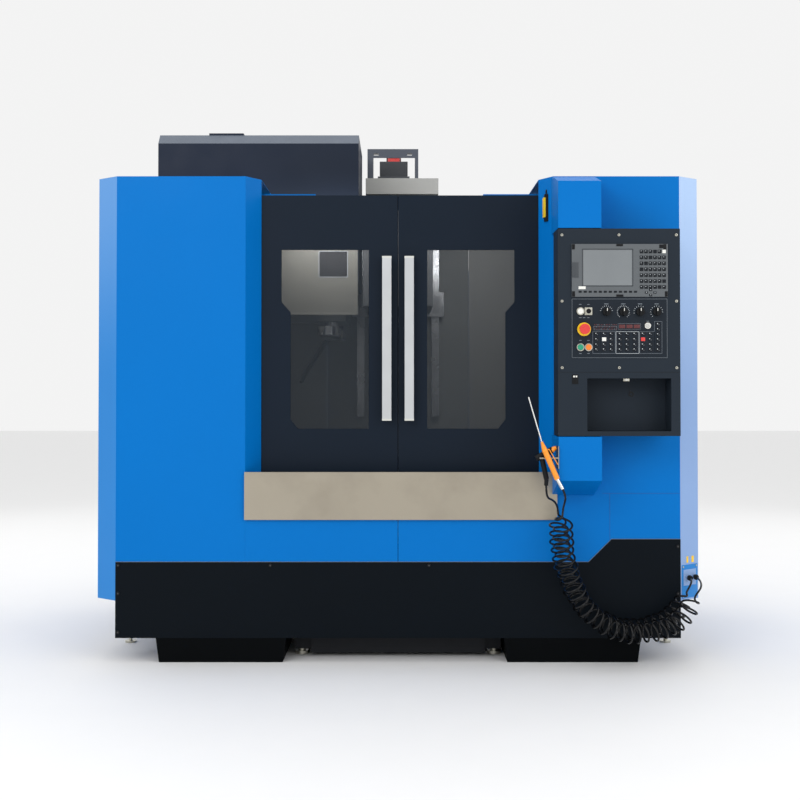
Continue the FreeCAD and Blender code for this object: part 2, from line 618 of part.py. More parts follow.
def build_saddle():
    """Cross saddle on the Y guides, with its guide blocks, X rails, nut and X servo motor."""
    half_length = "saddle_length / 2"
    front = "table_centre_y - saddle_depth / 2"
    back = "table_centre_y + saddle_depth / 2"
    block = box("saddle_block", at(f"-{half_length}", front, SADDLE_BOTTOM),
                at(half_length, back, SADDLE_TOP))
    trough = box("saddle_trough",
                 at(f"-{half_length} + bed_wall", "table_centre_y - screw_channel / 2",
                    f"{SADDLE_TOP} - x_channel_depth"),
                 at(half_length, "table_centre_y + screw_channel / 2", f"{SADDLE_TOP} + over"))
    subpart("saddle", cut("saddle", block, trough))

    pieces = []
    for side, sign in (("left", -1), ("right", 1)):
        middle = f"{sign} * y_rail_spacing / 2"
        for end, step in (("front", -1), ("back", 1)):
            start = f"table_centre_y + {step} * y_block_spacing / 2 - block_length / 2"
            low = at(f"{middle} - {BLOCK_SIDE}", start, f"{SADDLE_BOTTOM} - block_grip")
            high = at(f"{middle} + {BLOCK_SIDE}", f"{start} + block_length", SADDLE_BOTTOM)
            slot_low = at(f"{middle} - {GRIP}", f"{start} - over", "bed_top")
            slot_high = at(f"{middle} + {GRIP}", f"{start} + block_length + over",
                           "bed_top + rail_height + clearance")
            pieces.append(carriage(f"y_block_{side}_{end}", low, high, slot_low, slot_high))
    for side, sign in (("front", -1), ("back", 1)):
        middle = f"table_centre_y + {sign} * x_rail_spacing / 2"
        pieces.append(box(f"x_rail_{side}",
                          at("-x_rail_length / 2", f"{middle} - rail_width / 2", SADDLE_TOP),
                          at("x_rail_length / 2", f"{middle} + rail_width / 2",
                             f"{SADDLE_TOP} + rail_height")))
    nut = box("y_nut_block", at("-nut_width / 2", "table_centre_y - nut_length / 2",
                                f"{Y_SCREW_HEIGHT} - nut_width / 2"),
              at("nut_width / 2", "table_centre_y + nut_length / 2", SADDLE_BOTTOM))
    bore = rod("y_nut_bore", "y_screw_radius + clearance",
               at("0", "table_centre_y - nut_length / 2 - over", Y_SCREW_HEIGHT),
               "nut_length + 2 * over", "y")
    pieces.append(cut("y_nut", nut, bore))
    subpart("saddle_guides", group("saddle_guides", *pieces))

    motor_middle = f"{X_SCREW_HEIGHT} - x_servo_drop"
    motor_low = at(half_length, "table_centre_y - servo_width / 2", f"{motor_middle} - servo_width / 2")
    motor_high = at(f"{half_length} + servo_length", "table_centre_y + servo_width / 2",
                    f"{motor_middle} + servo_width / 2")
    subpart("x_servo", box("x_servo", motor_low, motor_high))


def table_profile():
    """Section of the table across its length: a slotted slab on two ribs."""
    half = "table_depth / 2"
    rib_inner = "x_rail_spacing / 2 - table_rib / 2"
    rib_outer = "x_rail_spacing / 2 + table_rib / 2"
    slab = f"{TABLE_TOP} - table_slab"
    low = [
        (f"-{half}", slab), (f"-({rib_outer})", slab), (f"-({rib_outer})", TABLE_BOTTOM),
        (f"-({rib_inner})", TABLE_BOTTOM), (f"-({rib_inner})", slab), (rib_inner, slab),
        (rib_inner, TABLE_BOTTOM), (rib_outer, TABLE_BOTTOM), (rib_outer, slab), (half, slab),
        (half, TABLE_TOP)]
    top = []
    for index in range(int(number("slot_count"))):
        middle = f"((slot_count - 1) / 2 - {index}) * slot_pitch"
        neck = f"{TABLE_TOP} - slot_depth + slot_foot_height"
        foot = f"{TABLE_TOP} - slot_depth"
        top += [
            (f"{middle} + slot_width / 2", TABLE_TOP), (f"{middle} + slot_width / 2", neck),
            (f"{middle} + slot_foot_width / 2", neck), (f"{middle} + slot_foot_width / 2", foot),
            (f"{middle} - slot_foot_width / 2", foot), (f"{middle} - slot_foot_width / 2", neck),
            (f"{middle} - slot_width / 2", neck), (f"{middle} - slot_width / 2", TABLE_TOP)]
    corners = low + top + [(f"-{half}", TABLE_TOP)]
    return [(deep(f"table_centre_y + ({across})"), height) for across, height in corners]


def build_table():
    """Work table with its T-slots, guide blocks and nut."""
    subpart("table", prism("table", "YZ", [table_profile()], "-table_length / 2", "table_length / 2"))
    pieces = []
    for side, sign in (("front", -1), ("back", 1)):
        middle = f"table_centre_y + {sign} * x_rail_spacing / 2"
        for end, step in (("left", -1), ("right", 1)):
            start = f"{step} * x_block_spacing / 2 - block_length / 2"
            low = at(start, f"{middle} - {BLOCK_SIDE}", f"{TABLE_BOTTOM} - block_grip")
            high = at(f"{start} + block_length", f"{middle} + {BLOCK_SIDE}", TABLE_BOTTOM)
            slot_low = at(f"{start} - over", f"{middle} - {GRIP}", SADDLE_TOP)
            slot_high = at(f"{start} + block_length + over", f"{middle} + {GRIP}",
                           f"{SADDLE_TOP} + rail_height + clearance")
            pieces.append(carriage(f"x_block_{side}_{end}", low, high, slot_low, slot_high))
    nut = box("x_nut_block", at("-nut_length / 2", "table_centre_y - nut_width / 2",
                                f"{X_SCREW_HEIGHT} - nut_width / 2"),
              at("nut_length / 2", "table_centre_y + nut_width / 2", f"{TABLE_TOP} - table_slab"))
    bore = rod("x_nut_bore", "x_screw_radius + clearance",
               at("-nut_length / 2 - over", "table_centre_y", X_SCREW_HEIGHT), "nut_length + 2 * over", "x")
    pieces.append(cut("x_nut", nut, bore))
    subpart("table_guides", group("table_guides", *pieces))


def build_screws():
    """The three ball screws, each a plain turned bar in its trough."""
    subpart("x_ball_screw", rod(
        "x_ball_screw", "x_screw_radius",
        at("-saddle_length / 2 + bed_wall + screw_end_gap", "table_centre_y", X_SCREW_HEIGHT),
        "saddle_length - bed_wall - screw_end_gap - clearance", "x"))
    subpart("y_ball_screw", rod(
        "y_ball_screw", "y_screw_radius",
        at("0", "bed_front + bed_wall + clearance", Y_SCREW_HEIGHT),
        "column_front - bed_front - bed_wall - 2 * clearance", "y"))
    subpart("z_ball_screw", rod(
        "z_ball_screw", "z_screw_radius",
        at("-z_axis_x", "z_screw_depth", "z_screw_bottom"),
        "seat_top - z_screw_bottom - clearance"))


def build_motors():
    """Y servo inside the front of the bed, Z servo with its encoder cap on the column, and its portal."""
    ceiling = "bed_top - y_channel_depth - bed_wall"
    subpart("y_servo", box(
        "y_servo",
        at("-servo_width / 2", "bed_front + bed_wall", f"{ceiling} - servo_width"),
        at("servo_width / 2", "bed_front + bed_wall + servo_length", ceiling)))

    middle = "-z_axis_x"
    flange = box("z_servo_flange_plate",
                 at(f"{middle} - servo_width / 2", "z_screw_depth - servo_width / 2", "seat_top"),
                 at(f"{middle} + servo_width / 2", "z_screw_depth + servo_width / 2",
                    "seat_top + z_servo_flange"))
    side = "(servo_width / 2 - z_servo_margin)"
    body = box("z_servo_body", at(f"{middle} - {side}", f"z_screw_depth - {side}", "seat_top"),
               at(f"{middle} + {side}", f"z_screw_depth + {side}", "seat_top + z_servo_height"))
    cap = rod("z_servo_cap", "encoder_radius", at(middle, "z_screw_depth", "seat_top + z_servo_height"),
              "encoder_height")
    subpart("z_servo", group("z_servo", fuse("z_servo_motor", flange, body), cap))

    front = "z_screw_depth - bracket_depth / 2"
    back = "z_screw_depth + bracket_depth / 2"
    left = f"{middle} - bracket_left"
    right = f"{middle} + bracket_right"
    leg_left = box("portal_left_leg", at(left, front, "seat_top"),
                   at(f"{left} + bracket_left_leg", back, "bracket_top"))
    leg_right = box("portal_right_leg", at(f"{right} - bracket_leg", front, "seat_top"),
                    at(right, back, "bracket_top"))
    bar = box("portal_bar", at(left, front, "bracket_top - bracket_bar"), at(right, back, "bracket_top"))
    hollow = box("portal_bar_hollow",
                 at(f"{left} - over", f"{front} + sheet", "bracket_top - bracket_bar - over"),
                 at(f"{right} + over", f"{back} + over", "bracket_top - sheet"))
    slots = []
    slot_low = "bracket_top - bracket_slot_inset"
    for end, start in (("left", f"{left} + bracket_slot_inset"),
                       ("right", f"{right} - bracket_slot_inset - bracket_slot_width")):
        slots.append(box(f"portal_{end}_slot", at(start, f"{front} - over", slot_low),
                         at(f"{start} + bracket_slot_width", f"{front} + 2 * sheet",
                            f"{slot_low} + bracket_slot_height")))
    beam = cut("portal_beam", bar, hollow, *slots)
    subpart("z_motor_portal", fuse("z_motor_portal", leg_left, leg_right, beam))


def build_head():
    """Spindle head with its guide blocks, the spindle with its taper and the motor behind it."""
    half = "head_width / 2"
    block = box("head_block", at(f"-{half}", "head_front", "head_bottom"),
                at(half, "head_back", "head_top"))
    nose = rod("head_nose", "nose_radius", at("0", "spindle_depth", "nose_bottom"),
               "head_bottom - nose_bottom + over")
    bore = rod("head_bore", "spindle_radius + clearance", at("0", "spindle_depth", "nose_bottom - over"),
               "spindle_length + 2 * over")
    bay = box("head_motor_bay", at(f"-{half} + head_wall", "motor_bay_front", "spindle_motor_bottom"),
              at(f"{half} - head_wall", "head_back - head_wall", "head_top - head_wall"))
    whole = fuse("head_whole", block, nose)
    subpart("spindle_head", cut("spindle_head", whole, bore, bay))

    motor_side = "spindle_motor_width / 2"
    subpart("spindle_motor", box(
        "spindle_motor", at(f"-{motor_side}", f"spindle_motor_depth - {motor_side}", "spindle_motor_bottom"),
        at(motor_side, f"spindle_motor_depth + {motor_side}",
           "spindle_motor_bottom + spindle_motor_height")))

    shaft = rod("spindle_shaft", "spindle_radius", at("0", "spindle_depth", "nose_bottom - spindle_nose"),
                "spindle_length")
    taper = doc.addObject("Part::Cone", "spindle_taper")
    bind(taper, "Radius1", "taper_mouth")
    bind(taper, "Radius2", "taper_tip")
    bind(taper, "Height", "taper_depth")
    place(taper, at("0", "spindle_depth", "nose_bottom - spindle_nose"))
    subpart("spindle", cut("spindle", shaft, taper))

    pieces = []
    for side, sign in (("left", -1), ("right", 1)):
        middle = f"{sign} * z_rail_spacing / 2"
        for end, step in (("low", -1), ("high", 1)):
            start = f"(head_bottom + head_top) / 2 + {step} * z_block_spacing / 2 - block_length / 2"
            low = at(f"{middle} - {BLOCK_SIDE}", "head_back", start)
            high = at(f"{middle} + {BLOCK_SIDE}", "head_back + block_grip", f"{start} + block_length")
            slot_low = at(f"{middle} - {GRIP}", "column_front - rail_height - clearance", f"{start} - over")
            slot_high = at(f"{middle} + {GRIP}", "column_front", f"{start} + block_length + over")
            pieces.append(carriage(f"z_block_{side}_{end}", low, high, slot_low, slot_high))
    nut_low = "(head_bottom + head_top - nut_length) / 2"
    nut = box("z_nut_block", at("-z_axis_x - nut_width / 2", "head_back", nut_low),
              at("-z_axis_x + nut_width / 2", "z_screw_depth + z_nut_reach", f"{nut_low} + nut_length"))
    bore = rod("z_nut_bore", "z_screw_radius + clearance",
               at("-z_axis_x", "z_screw_depth", f"{nut_low} - over"), "nut_length + 2 * over")
    pieces.append(cut("z_nut", nut, bore))
    subpart("head_guides", group("head_guides", *pieces))


# ---------------------------------------------------------------- tool changer

def build_magazine():
    """Disc magazine with its ring of tool pots, its cover, the changer casting and the twin arm."""
    slope = [
        ("cover_front", "cover_bottom"), ("cover_back", "cover_bottom"), ("cover_back", "cover_top"),
        ("cover_front + cover_slope_depth", "cover_top"), ("cover_front", "cover_slope_start")]
    inside = [
        ("cover_front + sheet", "cover_bottom - over"), ("cover_back - sheet", "cover_bottom - over"),
        ("cover_back - sheet", "cover_top - sheet"),
        ("cover_front + cover_slope_depth + sheet / 2", "cover_top - sheet"),
        ("cover_front + sheet", "cover_slope_start - sheet / 2")]
    outer = prism("magazine_cover_outer", "YZ", [[(deep(d), z) for d, z in slope]],
                  "-cover_left", "-cover_right")
    inner = prism("magazine_cover_inner", "YZ", [[(deep(d), z) for d, z in inside]],
                  "-cover_left + sheet", "-cover_right - sheet")
    subpart("magazine_cover", cut("magazine_cover", outer, inner))

    disc = rod("magazine_plate", "disc_radius", at("-disc_x", "disc_front", "disc_height"), "disc_thick",
               "y")
    hub = rod("magazine_hub", "disc_hub_radius", at("-disc_x", "disc_front - disc_hub_proud", "disc_height"),
              "changer_plate_front - clearance - disc_front + disc_hub_proud", "y")
    shaft = rod("magazine_shaft", "disc_shaft_radius", at("-disc_x", "disc_front", "disc_height"),
                "changer_plate_front + changer_plate_thick - disc_front", "y")
    pot = rod("magazine_pot", "pot_radius", at("0", "0", "0"), "pot_length", "y")
    pot_bore = rod("magazine_pot_bore", "pot_bore", at("0", "-over", "0"), "pot_depth + over", "y")
    cup = cut("magazine_cup", pot, pot_bore)
    pots = []
    for index in range(int(number("pot_count"))):
        angle = f"360 / pot_count * {index}"
        copy = doc.addObject("App::Link", f"magazine_pot_{index}")
        copy.LinkedObject = cup
        copy.LinkTransform = True
        place(copy, (f"-disc_x + pot_circle * sin({angle} * 1deg)", "disc_front - pot_length",
                     f"disc_height - pot_circle * cos({angle} * 1deg)"))
        pots.append(copy)
    subpart("magazine_disc", group("magazine_disc", fuse("magazine_rotor", disc, hub, shaft), *pots))

    plate = box("changer_plate", at("-changer_left", "changer_plate_front", "changer_bottom"),
                at("-gearbox_right", "changer_plate_front + changer_plate_thick", "changer_top"))
    gearbox = box("changer_gearbox", at("-gearbox_left", "gearbox_front", "changer_bottom"),
                  at("-gearbox_right", "column_front", "gearbox_top"))
    shaft_bore = rod("changer_disc_bore", "disc_shaft_radius + clearance",
                     at("-disc_x", "changer_plate_front - over", "disc_height"),
                     "changer_plate_thick + 2 * over", "y")
    arm_bore = rod("changer_arm_bore", "arm_shaft_radius + clearance",
                   at("-arm_x", "spindle_depth", "changer_bottom - over"),
                   "gearbox_top - changer_bottom - arm_bore_gap")
    casting = fuse("changer_whole", plate, gearbox)
    subpart("tool_changer", cut("tool_changer", casting, shaft_bore, arm_bore))

    low = "arm_height"
    high = "arm_height + arm_thick"
    beam = box("arm_beam", at("-arm_x - arm_width / 2", "spindle_depth - arm_reach", low),
               at("-arm_x + arm_width / 2", "spindle_depth + arm_reach", high))
    hub = rod("arm_hub", "arm_hub_radius", at("-arm_x", "spindle_depth", low), "arm_thick")
    shaft = rod("arm_shaft", "arm_shaft_radius", at("-arm_x", "spindle_depth", low),
                "gearbox_top - arm_height - arm_shaft_gap")
    heads = []
    grips = []
    for end, sign in (("front", -1), ("back", 1)):
        centre = f"spindle_depth + {sign} * arm_reach"
        heads.append(rod(f"arm_{end}_claw", "arm_claw", at("-arm_x", centre, low), "arm_thick"))
        grips.append(rod(f"arm_{end}_grip", "arm_grip_radius", at("-arm_x", centre, f"{low} - over"),
                         "arm_thick + 2 * over"))
        mouth_edges = ["-arm_x", f"-arm_x + {-sign} * arm_mouth_reach"]
        low_x, high_x = mouth_edges if sign < 0 else reversed(mouth_edges)
        grips.append(box(f"arm_{end}_mouth", at(low_x, f"{centre} - arm_mouth_half", f"{low} - over"),
                         at(high_x, f"{centre} + arm_mouth_half", f"{high} + over")))
    whole = fuse("arm_whole", beam, hub, shaft, *heads)
    subpart("tool_arm", cut("tool_arm", whole, *grips))


# ---------------------------------------------------------------- floor level and rear

def build_tanks():
    """Two closed coolant tanks whose ends lean in towards the floor."""
    tanks = []
    for side, outer, inner, sign in (("left", "left_tank_outer", "left_tank_inner", -1),
                                     ("right", "right_tank_outer", "right_tank_inner", 1)):
        edge = [(f"{inner} + tank_taper", "0"), (f"{outer} - tank_taper", "0"),
                (outer, "tank_height"), (inner, "tank_height")]
        hollow = [(f"{inner} + tank_taper + tank_wall", "tank_wall"),
                  (f"{outer} - tank_taper - tank_wall", "tank_wall"),
                  (f"{outer} - tank_wall", "tank_height - tank_wall"),
                  (f"{inner} + tank_wall", "tank_height - tank_wall")]
        body = prism(f"tank_{side}_body", "XZ", [[(f"{sign} * ({x})", z) for x, z in edge]],
                     deep("tank_front"), deep("tank_back"))
        room = prism(f"tank_{side}_room", "XZ", [[(f"{sign} * ({x})", z) for x, z in hollow]],
                     deep("tank_front + tank_wall"), deep("tank_back - tank_wall"))
        tanks.append(cut(f"tank_{side}", body, room))
    subpart("coolant_tanks", group("coolant_tanks", *tanks))


def build_feet():
    """Levelling screws under the bed's lugs and the light feet under the guard."""
    feet = []
    for side, sign in (("left", -1), ("right", 1)):
        x = f"{sign} * (bed_width / 2 + stud_inset)"
        for row in ("lug_front", "lug_middle", "lug_back"):
            depth = f"bed_front + {row} + lug_length / 2"
            name = f"foot_{side}_{row}"
            pad = rod(name + "_pad", "pad_radius", at(x, depth, "0"), "pad_height")
            stud = rod(name + "_stud", "stud_radius", at(x, depth, "0"), "stud_top")
            collar = rod(name + "_collar", "nut_radius", at(x, depth, "pad_height"),
                         "bed_bottom - pad_height")
            nut = rod(name + "_nut", "nut_radius", at(x, depth, "lug_top"), "nut_height")
            feet.append(fuse(name, pad, stud, collar, nut))
        for row in ("guard_foot_front", "guard_foot_back"):
            name = f"{row}_{side}"
            spot = at(f"{sign} * (body_width / 2 - guard_foot_inset)", row, "0")
            pad = rod(name + "_pad", "guard_pad_radius", spot, "guard_pad_height")
            stud = rod(name + "_stud", "guard_stud_radius", spot, "facet_bottom")
            feet.append(fuse(name, pad, stud))
    subpart("levelling_feet", group("levelling_feet", *feet))


def build_electrical_cabinet():
    """Control cabinet on the back of the column, with a hinged door and its pull."""
    half = "box_width / 2"
    case = shell_box("electrical_case", at(f"-{half}", "box_front", "bed_top"),
                     at(half, "box_back", "box_top"), "sheet", ("+y",))
    hinges = []
    for end, height in (("low", "bed_top + hinge_inset"),
                        ("high", "box_top - hinge_inset - hinge_length")):
        hinge_x = f"{half} + hinge_radius + clearance"
        hinges.append(rod(f"electrical_{end}_knuckle", "hinge_radius", at(hinge_x, "box_back", height),
                          "hinge_length"))
        hinges.append(box(f"electrical_{end}_strap", at(half, "box_back - hinge_strap", height),
                          at(hinge_x, "box_back - clearance", f"{height} + hinge_length")))
    subpart("electrical_cabinet", fuse("electrical_cabinet", case, *hinges))
    leaf = shell_box("electrical_leaf", at(f"-{half}", "box_back + clearance", "bed_top"),
                     at(half, "box_back + box_door_thick", "box_top"), "sheet", ("-y",))
    pull = box("electrical_pull",
               at(f"-{half} + box_handle_inset", "box_back + box_door_thick",
                  "(bed_top + box_top - box_handle_height) / 2"),
               at(f"-{half} + box_handle_inset + box_handle_width",
                  "box_back + box_door_thick + box_handle_proud",
                  "(bed_top + box_top + box_handle_height) / 2"))
    subpart("electrical_door", fuse("electrical_door", leaf, pull))


# ---------------------------------------------------------------- control panel

UPPER_ARM_BOTTOM = "panel_high + arm_gap"
LOWER_ARM_TOP = "panel_low - arm_gap"
PANEL_MIDDLE = "(panel_low + panel_high) / 2"


def build_panel_arms():
    """The two fixed boxes between which the control panel turns."""
    upper = [
        ("-arm_box_front", UPPER_ARM_BOTTOM), ("0", UPPER_ARM_BOTTOM), ("0", "upper_arm_back_top"),
        ("-arm_box_front + upper_arm_slope", "upper_arm_back_top"),
        ("-arm_box_front", "upper_arm_front_top")]
    upper_room = [
        ("-arm_box_front + sheet", f"{UPPER_ARM_BOTTOM} + sheet"), ("over", f"{UPPER_ARM_BOTTOM} + sheet"),
        ("over", "upper_arm_back_top - sheet"),
        ("-arm_box_front + upper_arm_slope + sheet / 2", "upper_arm_back_top - sheet"),
        ("-arm_box_front + sheet", "upper_arm_front_top - sheet / 2")]
    lower = [
        ("-arm_box_front", "lower_arm_bottom"), ("0", "lower_arm_back_bottom"), ("0", LOWER_ARM_TOP),
        ("-arm_box_front", LOWER_ARM_TOP)]
    lower_room = [
        ("-arm_box_front + sheet", "lower_arm_bottom + sheet"), ("over", "lower_arm_back_bottom + sheet"),
        ("over", f"{LOWER_ARM_TOP} - sheet"), ("-arm_box_front + sheet", f"{LOWER_ARM_TOP} - sheet")]
    boxes = []
    for name, edge, room, height in (("upper_arm", upper, upper_room, f"{UPPER_ARM_BOTTOM} - over"),
                                     ("lower_arm", lower, lower_room, f"{LOWER_ARM_TOP} - sheet - over")):
        outer = prism(name + "_outer", "YZ", [[(deep(d), z) for d, z in edge]], "arm_box_left",
                      "arm_box_right")
        inner = prism(name + "_inner", "YZ", [[(deep(d), z) for d, z in room]], "arm_box_left + sheet",
                      "arm_box_right - sheet")
        bore = rod(name + "_bore", "pivot_radius + clearance", at("pivot_x", "-pivot_front", height),
                   "sheet + 2 * over")
        notch = box(name + "_notch",
                    at("arm_box_left - over", "-apron_proud - clearance", "lower_arm_back_bottom - over"),
                    at("apron_right + clearance", "over", "apron_top + clearance"))
        boxes.append(cut(name, outer, inner, bore, notch))
    subpart("panel_arms", group("panel_arms", *boxes))


def panel_at(right, forward, up):
    """Point given right of, in front of the panel's face, and above the panel's middle."""
    return at(f"centre_x + ({right})", f"-panel_face - ({forward})", f"{PANEL_MIDDLE} + ({up})")


def control(name):
    return f"{name}_right", f"{name}_up"


def build_panel_housing():
    """Swivelling housing with its hollow, lower pocket, instrument openings and pivot pins."""
    back = "-panel_face + panel_deep"
    outer = box("housing_outer", at("panel_left", "-panel_face", "panel_low"),
                at("panel_right", back, "panel_high"))
    room = box("housing_room",
               at("panel_left + panel_sheet", "-panel_face + panel_sheet", "pocket_top + panel_sheet"),
               at("panel_right - panel_sheet", f"{back} - panel_sheet", "panel_high - panel_sheet"))
    side_room = box("housing_side_room",
                    at("panel_left + panel_sheet", "-panel_face + panel_sheet", "panel_low + panel_sheet"),
                    at("pocket_left - panel_sheet", f"{back} - panel_sheet", "pocket_top"))
    pocket = box("housing_pocket", at("pocket_left", "-panel_face - over", "pocket_bottom"),
                 at("pocket_right", "-panel_face + pocket_deep", "pocket_top"))
    display_gap = box("housing_display_gap",
                      panel_at("-display_left + bezel_lap", "over", "display_low + bezel_lap"),
                      panel_at("display_right - bezel_lap", "-2 * panel_sheet", "display_high - bezel_lap"))
    plate_gap = box("housing_plate_gap", panel_at("-plate_left + plate_lap", "over", "plate_low + plate_lap"),
                    panel_at("plate_right - plate_lap", "-2 * panel_sheet", "plate_high - plate_lap"))
    top_pin = rod("housing_top_pin", "pivot_radius", at("pivot_x", "-pivot_front", "panel_high"),
                  "pivot_reach")
    low_pin = rod("housing_low_pin", "pivot_radius",
                  at("pivot_x", "-pivot_front", "panel_low - pivot_reach"), "pivot_reach")
    hollowed = cut("housing_hollowed", outer, room, side_room, pocket, display_gap, plate_gap)
    subpart("panel_housing", fuse("panel_housing", hollowed, top_pin, low_pin))


def build_display():
    """Display and key unit: bezel, sunk screen, raised keys and the body behind the panel."""
    bezel = box("display_bezel", panel_at("-display_left", "display_proud", "display_low"),
                panel_at("display_right", "0", "display_high"))
    body = box("display_body", panel_at("-display_left + bezel_lap + clearance", "0",
                                        "display_low + bezel_lap + clearance"),
               panel_at("display_right - bezel_lap - clearance", "-display_body",
                        "display_high - bezel_lap - clearance"))
    screen = box("display_screen", panel_at("-screen_left", "display_proud + over", "screen_low"),
                 panel_at("screen_right", "display_proud - screen_sink", "screen_high"))
    unit = cut("display_sunk", fuse("display_blank", bezel, body), screen)
    keys = []
    for row in range(int(number("key_rows"))):
        for column in range(int(number("key_columns"))):
            right = f"key_left + {column} * key_pitch"
            up = f"key_high - {row} * key_drop"
            keys.append(box(f"display_key_{row}_{column}",
                            panel_at(f"{right} - key_width / 2", "display_proud + key_height",
                                     f"{up} - key_width / 2"),
                            panel_at(f"{right} + key_width / 2", "display_proud",
                                     f"{up} + key_width / 2")))
    subpart("display_unit", fuse("display_unit", unit, *keys))


def panel_rod(label, name, radius, forward, length):
    """Round bar on a control's centre line, from its front end back into the panel."""
    right, up = control(name)
    return rod(label, radius, panel_at(right, forward, up), length, "y")


def build_operator_plate():
    """Plate of the operator's controls, with the fixed rims and bores of the buttons and switches."""
    plate = box("operator_blank", panel_at("-plate_left", "plate_thick", "plate_low"),
                panel_at("plate_right", "0", "plate_high"))
    rims = []
    bores = []
    for name in BUTTONS:
        rims.append(panel_rod(f"{name}_rim", name, "button_bezel", "plate_thick + button_bezel_height",
                              "button_bezel_height + plate_thick / 2"))
        bores.append(panel_rod(f"{name}_bore", name, "button_radius + clearance",
                               "plate_thick + button_bezel_height + over",
                               "plate_thick + button_bezel_height + 2 * over"))
    rims.append(panel_rod("stop_rim", "emergency_stop", "stop_collar", "plate_thick + stop_collar_height",
                          "stop_collar_height + plate_thick / 2"))
    bores.append(panel_rod("stop_bore", "emergency_stop", "stop_stem + clearance",
                           "plate_thick + stop_collar_height + over",
                           "plate_thick + stop_collar_height + 2 * over"))
    rims.append(panel_rod("key_rim", "key_switch", "key_switch_ring", "plate_thick + key_switch_proud / 2",
                          "key_switch_proud / 2 + plate_thick / 2"))
    bores.append(panel_rod("key_bore", "key_switch", "key_switch_radius + clearance",
                           "plate_thick + key_switch_proud", "plate_thick + key_switch_proud + over"))
    for name in KNOBS:
        bores.append(panel_rod(f"{name}_bore", name, "knob_shaft + clearance", "plate_thick + over",
                               "plate_thick + 2 * over"))
    subpart("operator_plate", cut("operator_plate", fuse("operator_rimmed", plate, *rims), *bores))


def build_controls():
    """Buttons, emergency stop, rotary knobs and key switch, each free to move in the plate."""
    for name in BUTTONS:
        subpart(name, panel_rod(name, name, "button_radius", "plate_thick + button_proud",
                                "plate_thick + button_proud + button_tail"))

    head = panel_rod("stop_head", "emergency_stop", "stop_radius", "plate_thick + stop_proud",
                     "stop_height")
    stem = panel_rod("stop_stem_bar", "emergency_stop", "stop_stem", "plate_thick + stop_proud - over",
                     "plate_thick + stop_proud - over + control_tail")
    subpart("emergency_stop", fuse("emergency_stop", head, stem))

    for name in KNOBS:
        right, up = control(name)
        base = "plate_thick + clearance"
        skirt = panel_rod(f"{name}_skirt", name, "knob_radius", f"{base} + knob_height", "knob_height")
        grip = box(f"{name}_grip",
                   panel_at(f"{right} - knob_grip_width / 2", f"{base} + knob_height + knob_grip_height",
                            f"{up} - knob_grip_half"),
                   panel_at(f"{right} + knob_grip_width / 2", f"{base} + knob_height - over",
                            f"{up} + knob_grip_half"))
        shaft = panel_rod(f"{name}_shaft", name, "knob_shaft", f"{base} + over",
                          f"{base} + over + control_tail")
        subpart(name, fuse(name, skirt, grip, shaft))

    right, up = control("key_switch")
    barrel = panel_rod("key_barrel", "key_switch", "key_switch_radius", "plate_thick + key_switch_proud",
                       "plate_thick + key_switch_proud + control_tail")
    slot = box("key_slot",
               panel_at(f"{right} - key_slot_width / 2", "plate_thick + key_switch_proud + over",
                        f"{up} - key_slot_length / 2"),
               panel_at(f"{right} + key_slot_width / 2", "plate_thick", f"{up} + key_slot_length / 2"))
    subpart("key_switch", cut("key_switch", barrel, slot))


# ---------------------------------------------------------------- guns and hoses

def spot(x, depth, height):
    """Point of the machine from plain numbers, the depth counted from the cabinet fronts."""
    return Vector(x, number("front_y") + depth, height)


def bar(radius, start, end):
    """Round bar between two points."""
    return Part.makeCylinder(radius, (end - start).Length, start, end - start)


def tapered_bar(start_radius, end_radius, start, end):
    return Part.makeCone(start_radius, end_radius, (end - start).Length, start, end - start)


def shaped(name, shape):
    """Sub-part whose form comes straight from Part's functions."""
    item = doc.addObject("Part::Feature", name)
    item.Shape = shape
    return subpart(name, item)


def gun_line(points, front):
    """Points of a gun's middle line in the machine."""
    return [spot(x, -number(front), height) for x, height in points.values()]


def build_air_gun():
    """Straight blow gun: long nozzle, body, grip and hose coupler, and its thumb lever."""
    tip, neck, shoulder, grip_end, coupler_end = gun_line(AIR_GUN, "air_gun_front")
    nozzle = bar(number("air_tube_radius"), tip, neck)
    collar = tapered_bar(number("air_tube_radius + collar_step"), number("air_body_radius"), neck,
                         shoulder)
    grip = bar(number("air_grip_radius"), shoulder, grip_end)
    joint = Part.makeSphere(number("air_body_radius"), shoulder)
    coupler = bar(number("air_coupler_radius"), grip_end, coupler_end)
    shaped("air_gun", nozzle.fuse([collar, joint, grip, coupler]).removeSplitter())

    along = (grip_end - shoulder).normalize()
    across = Vector(-along.z, 0, along.x)
    root = shoulder + across * (number("air_body_radius") + number("trigger_pin + clearance"))
    lever_end = root + along * number("air_lever_length") + across * number("air_lever_flare")
    shaped("air_lever", trigger_shape(root, lever_end))


def trigger_shape(root, end):
    """Flat lever with a pin boss at its root, turning about Y."""
    pin_axis = Vector(0, 1, 0)
    width = number("trigger_width")
    thickness = number("trigger_thick")
    along = end - root
    reach = along.Length
    along.normalize()
    up = pin_axis.cross(along)
    corner = root - pin_axis * (width / 2) - up * (thickness / 2)
    plate = Part.makeBox(reach, width, thickness)
    plate.Placement = Placement(corner, Rotation(along, pin_axis, up, "XYZ"))
    pin = Part.makeCylinder(number("trigger_pin"), width, root - pin_axis * (width / 2), pin_axis)
    return plate.fuse(pin).removeSplitter()


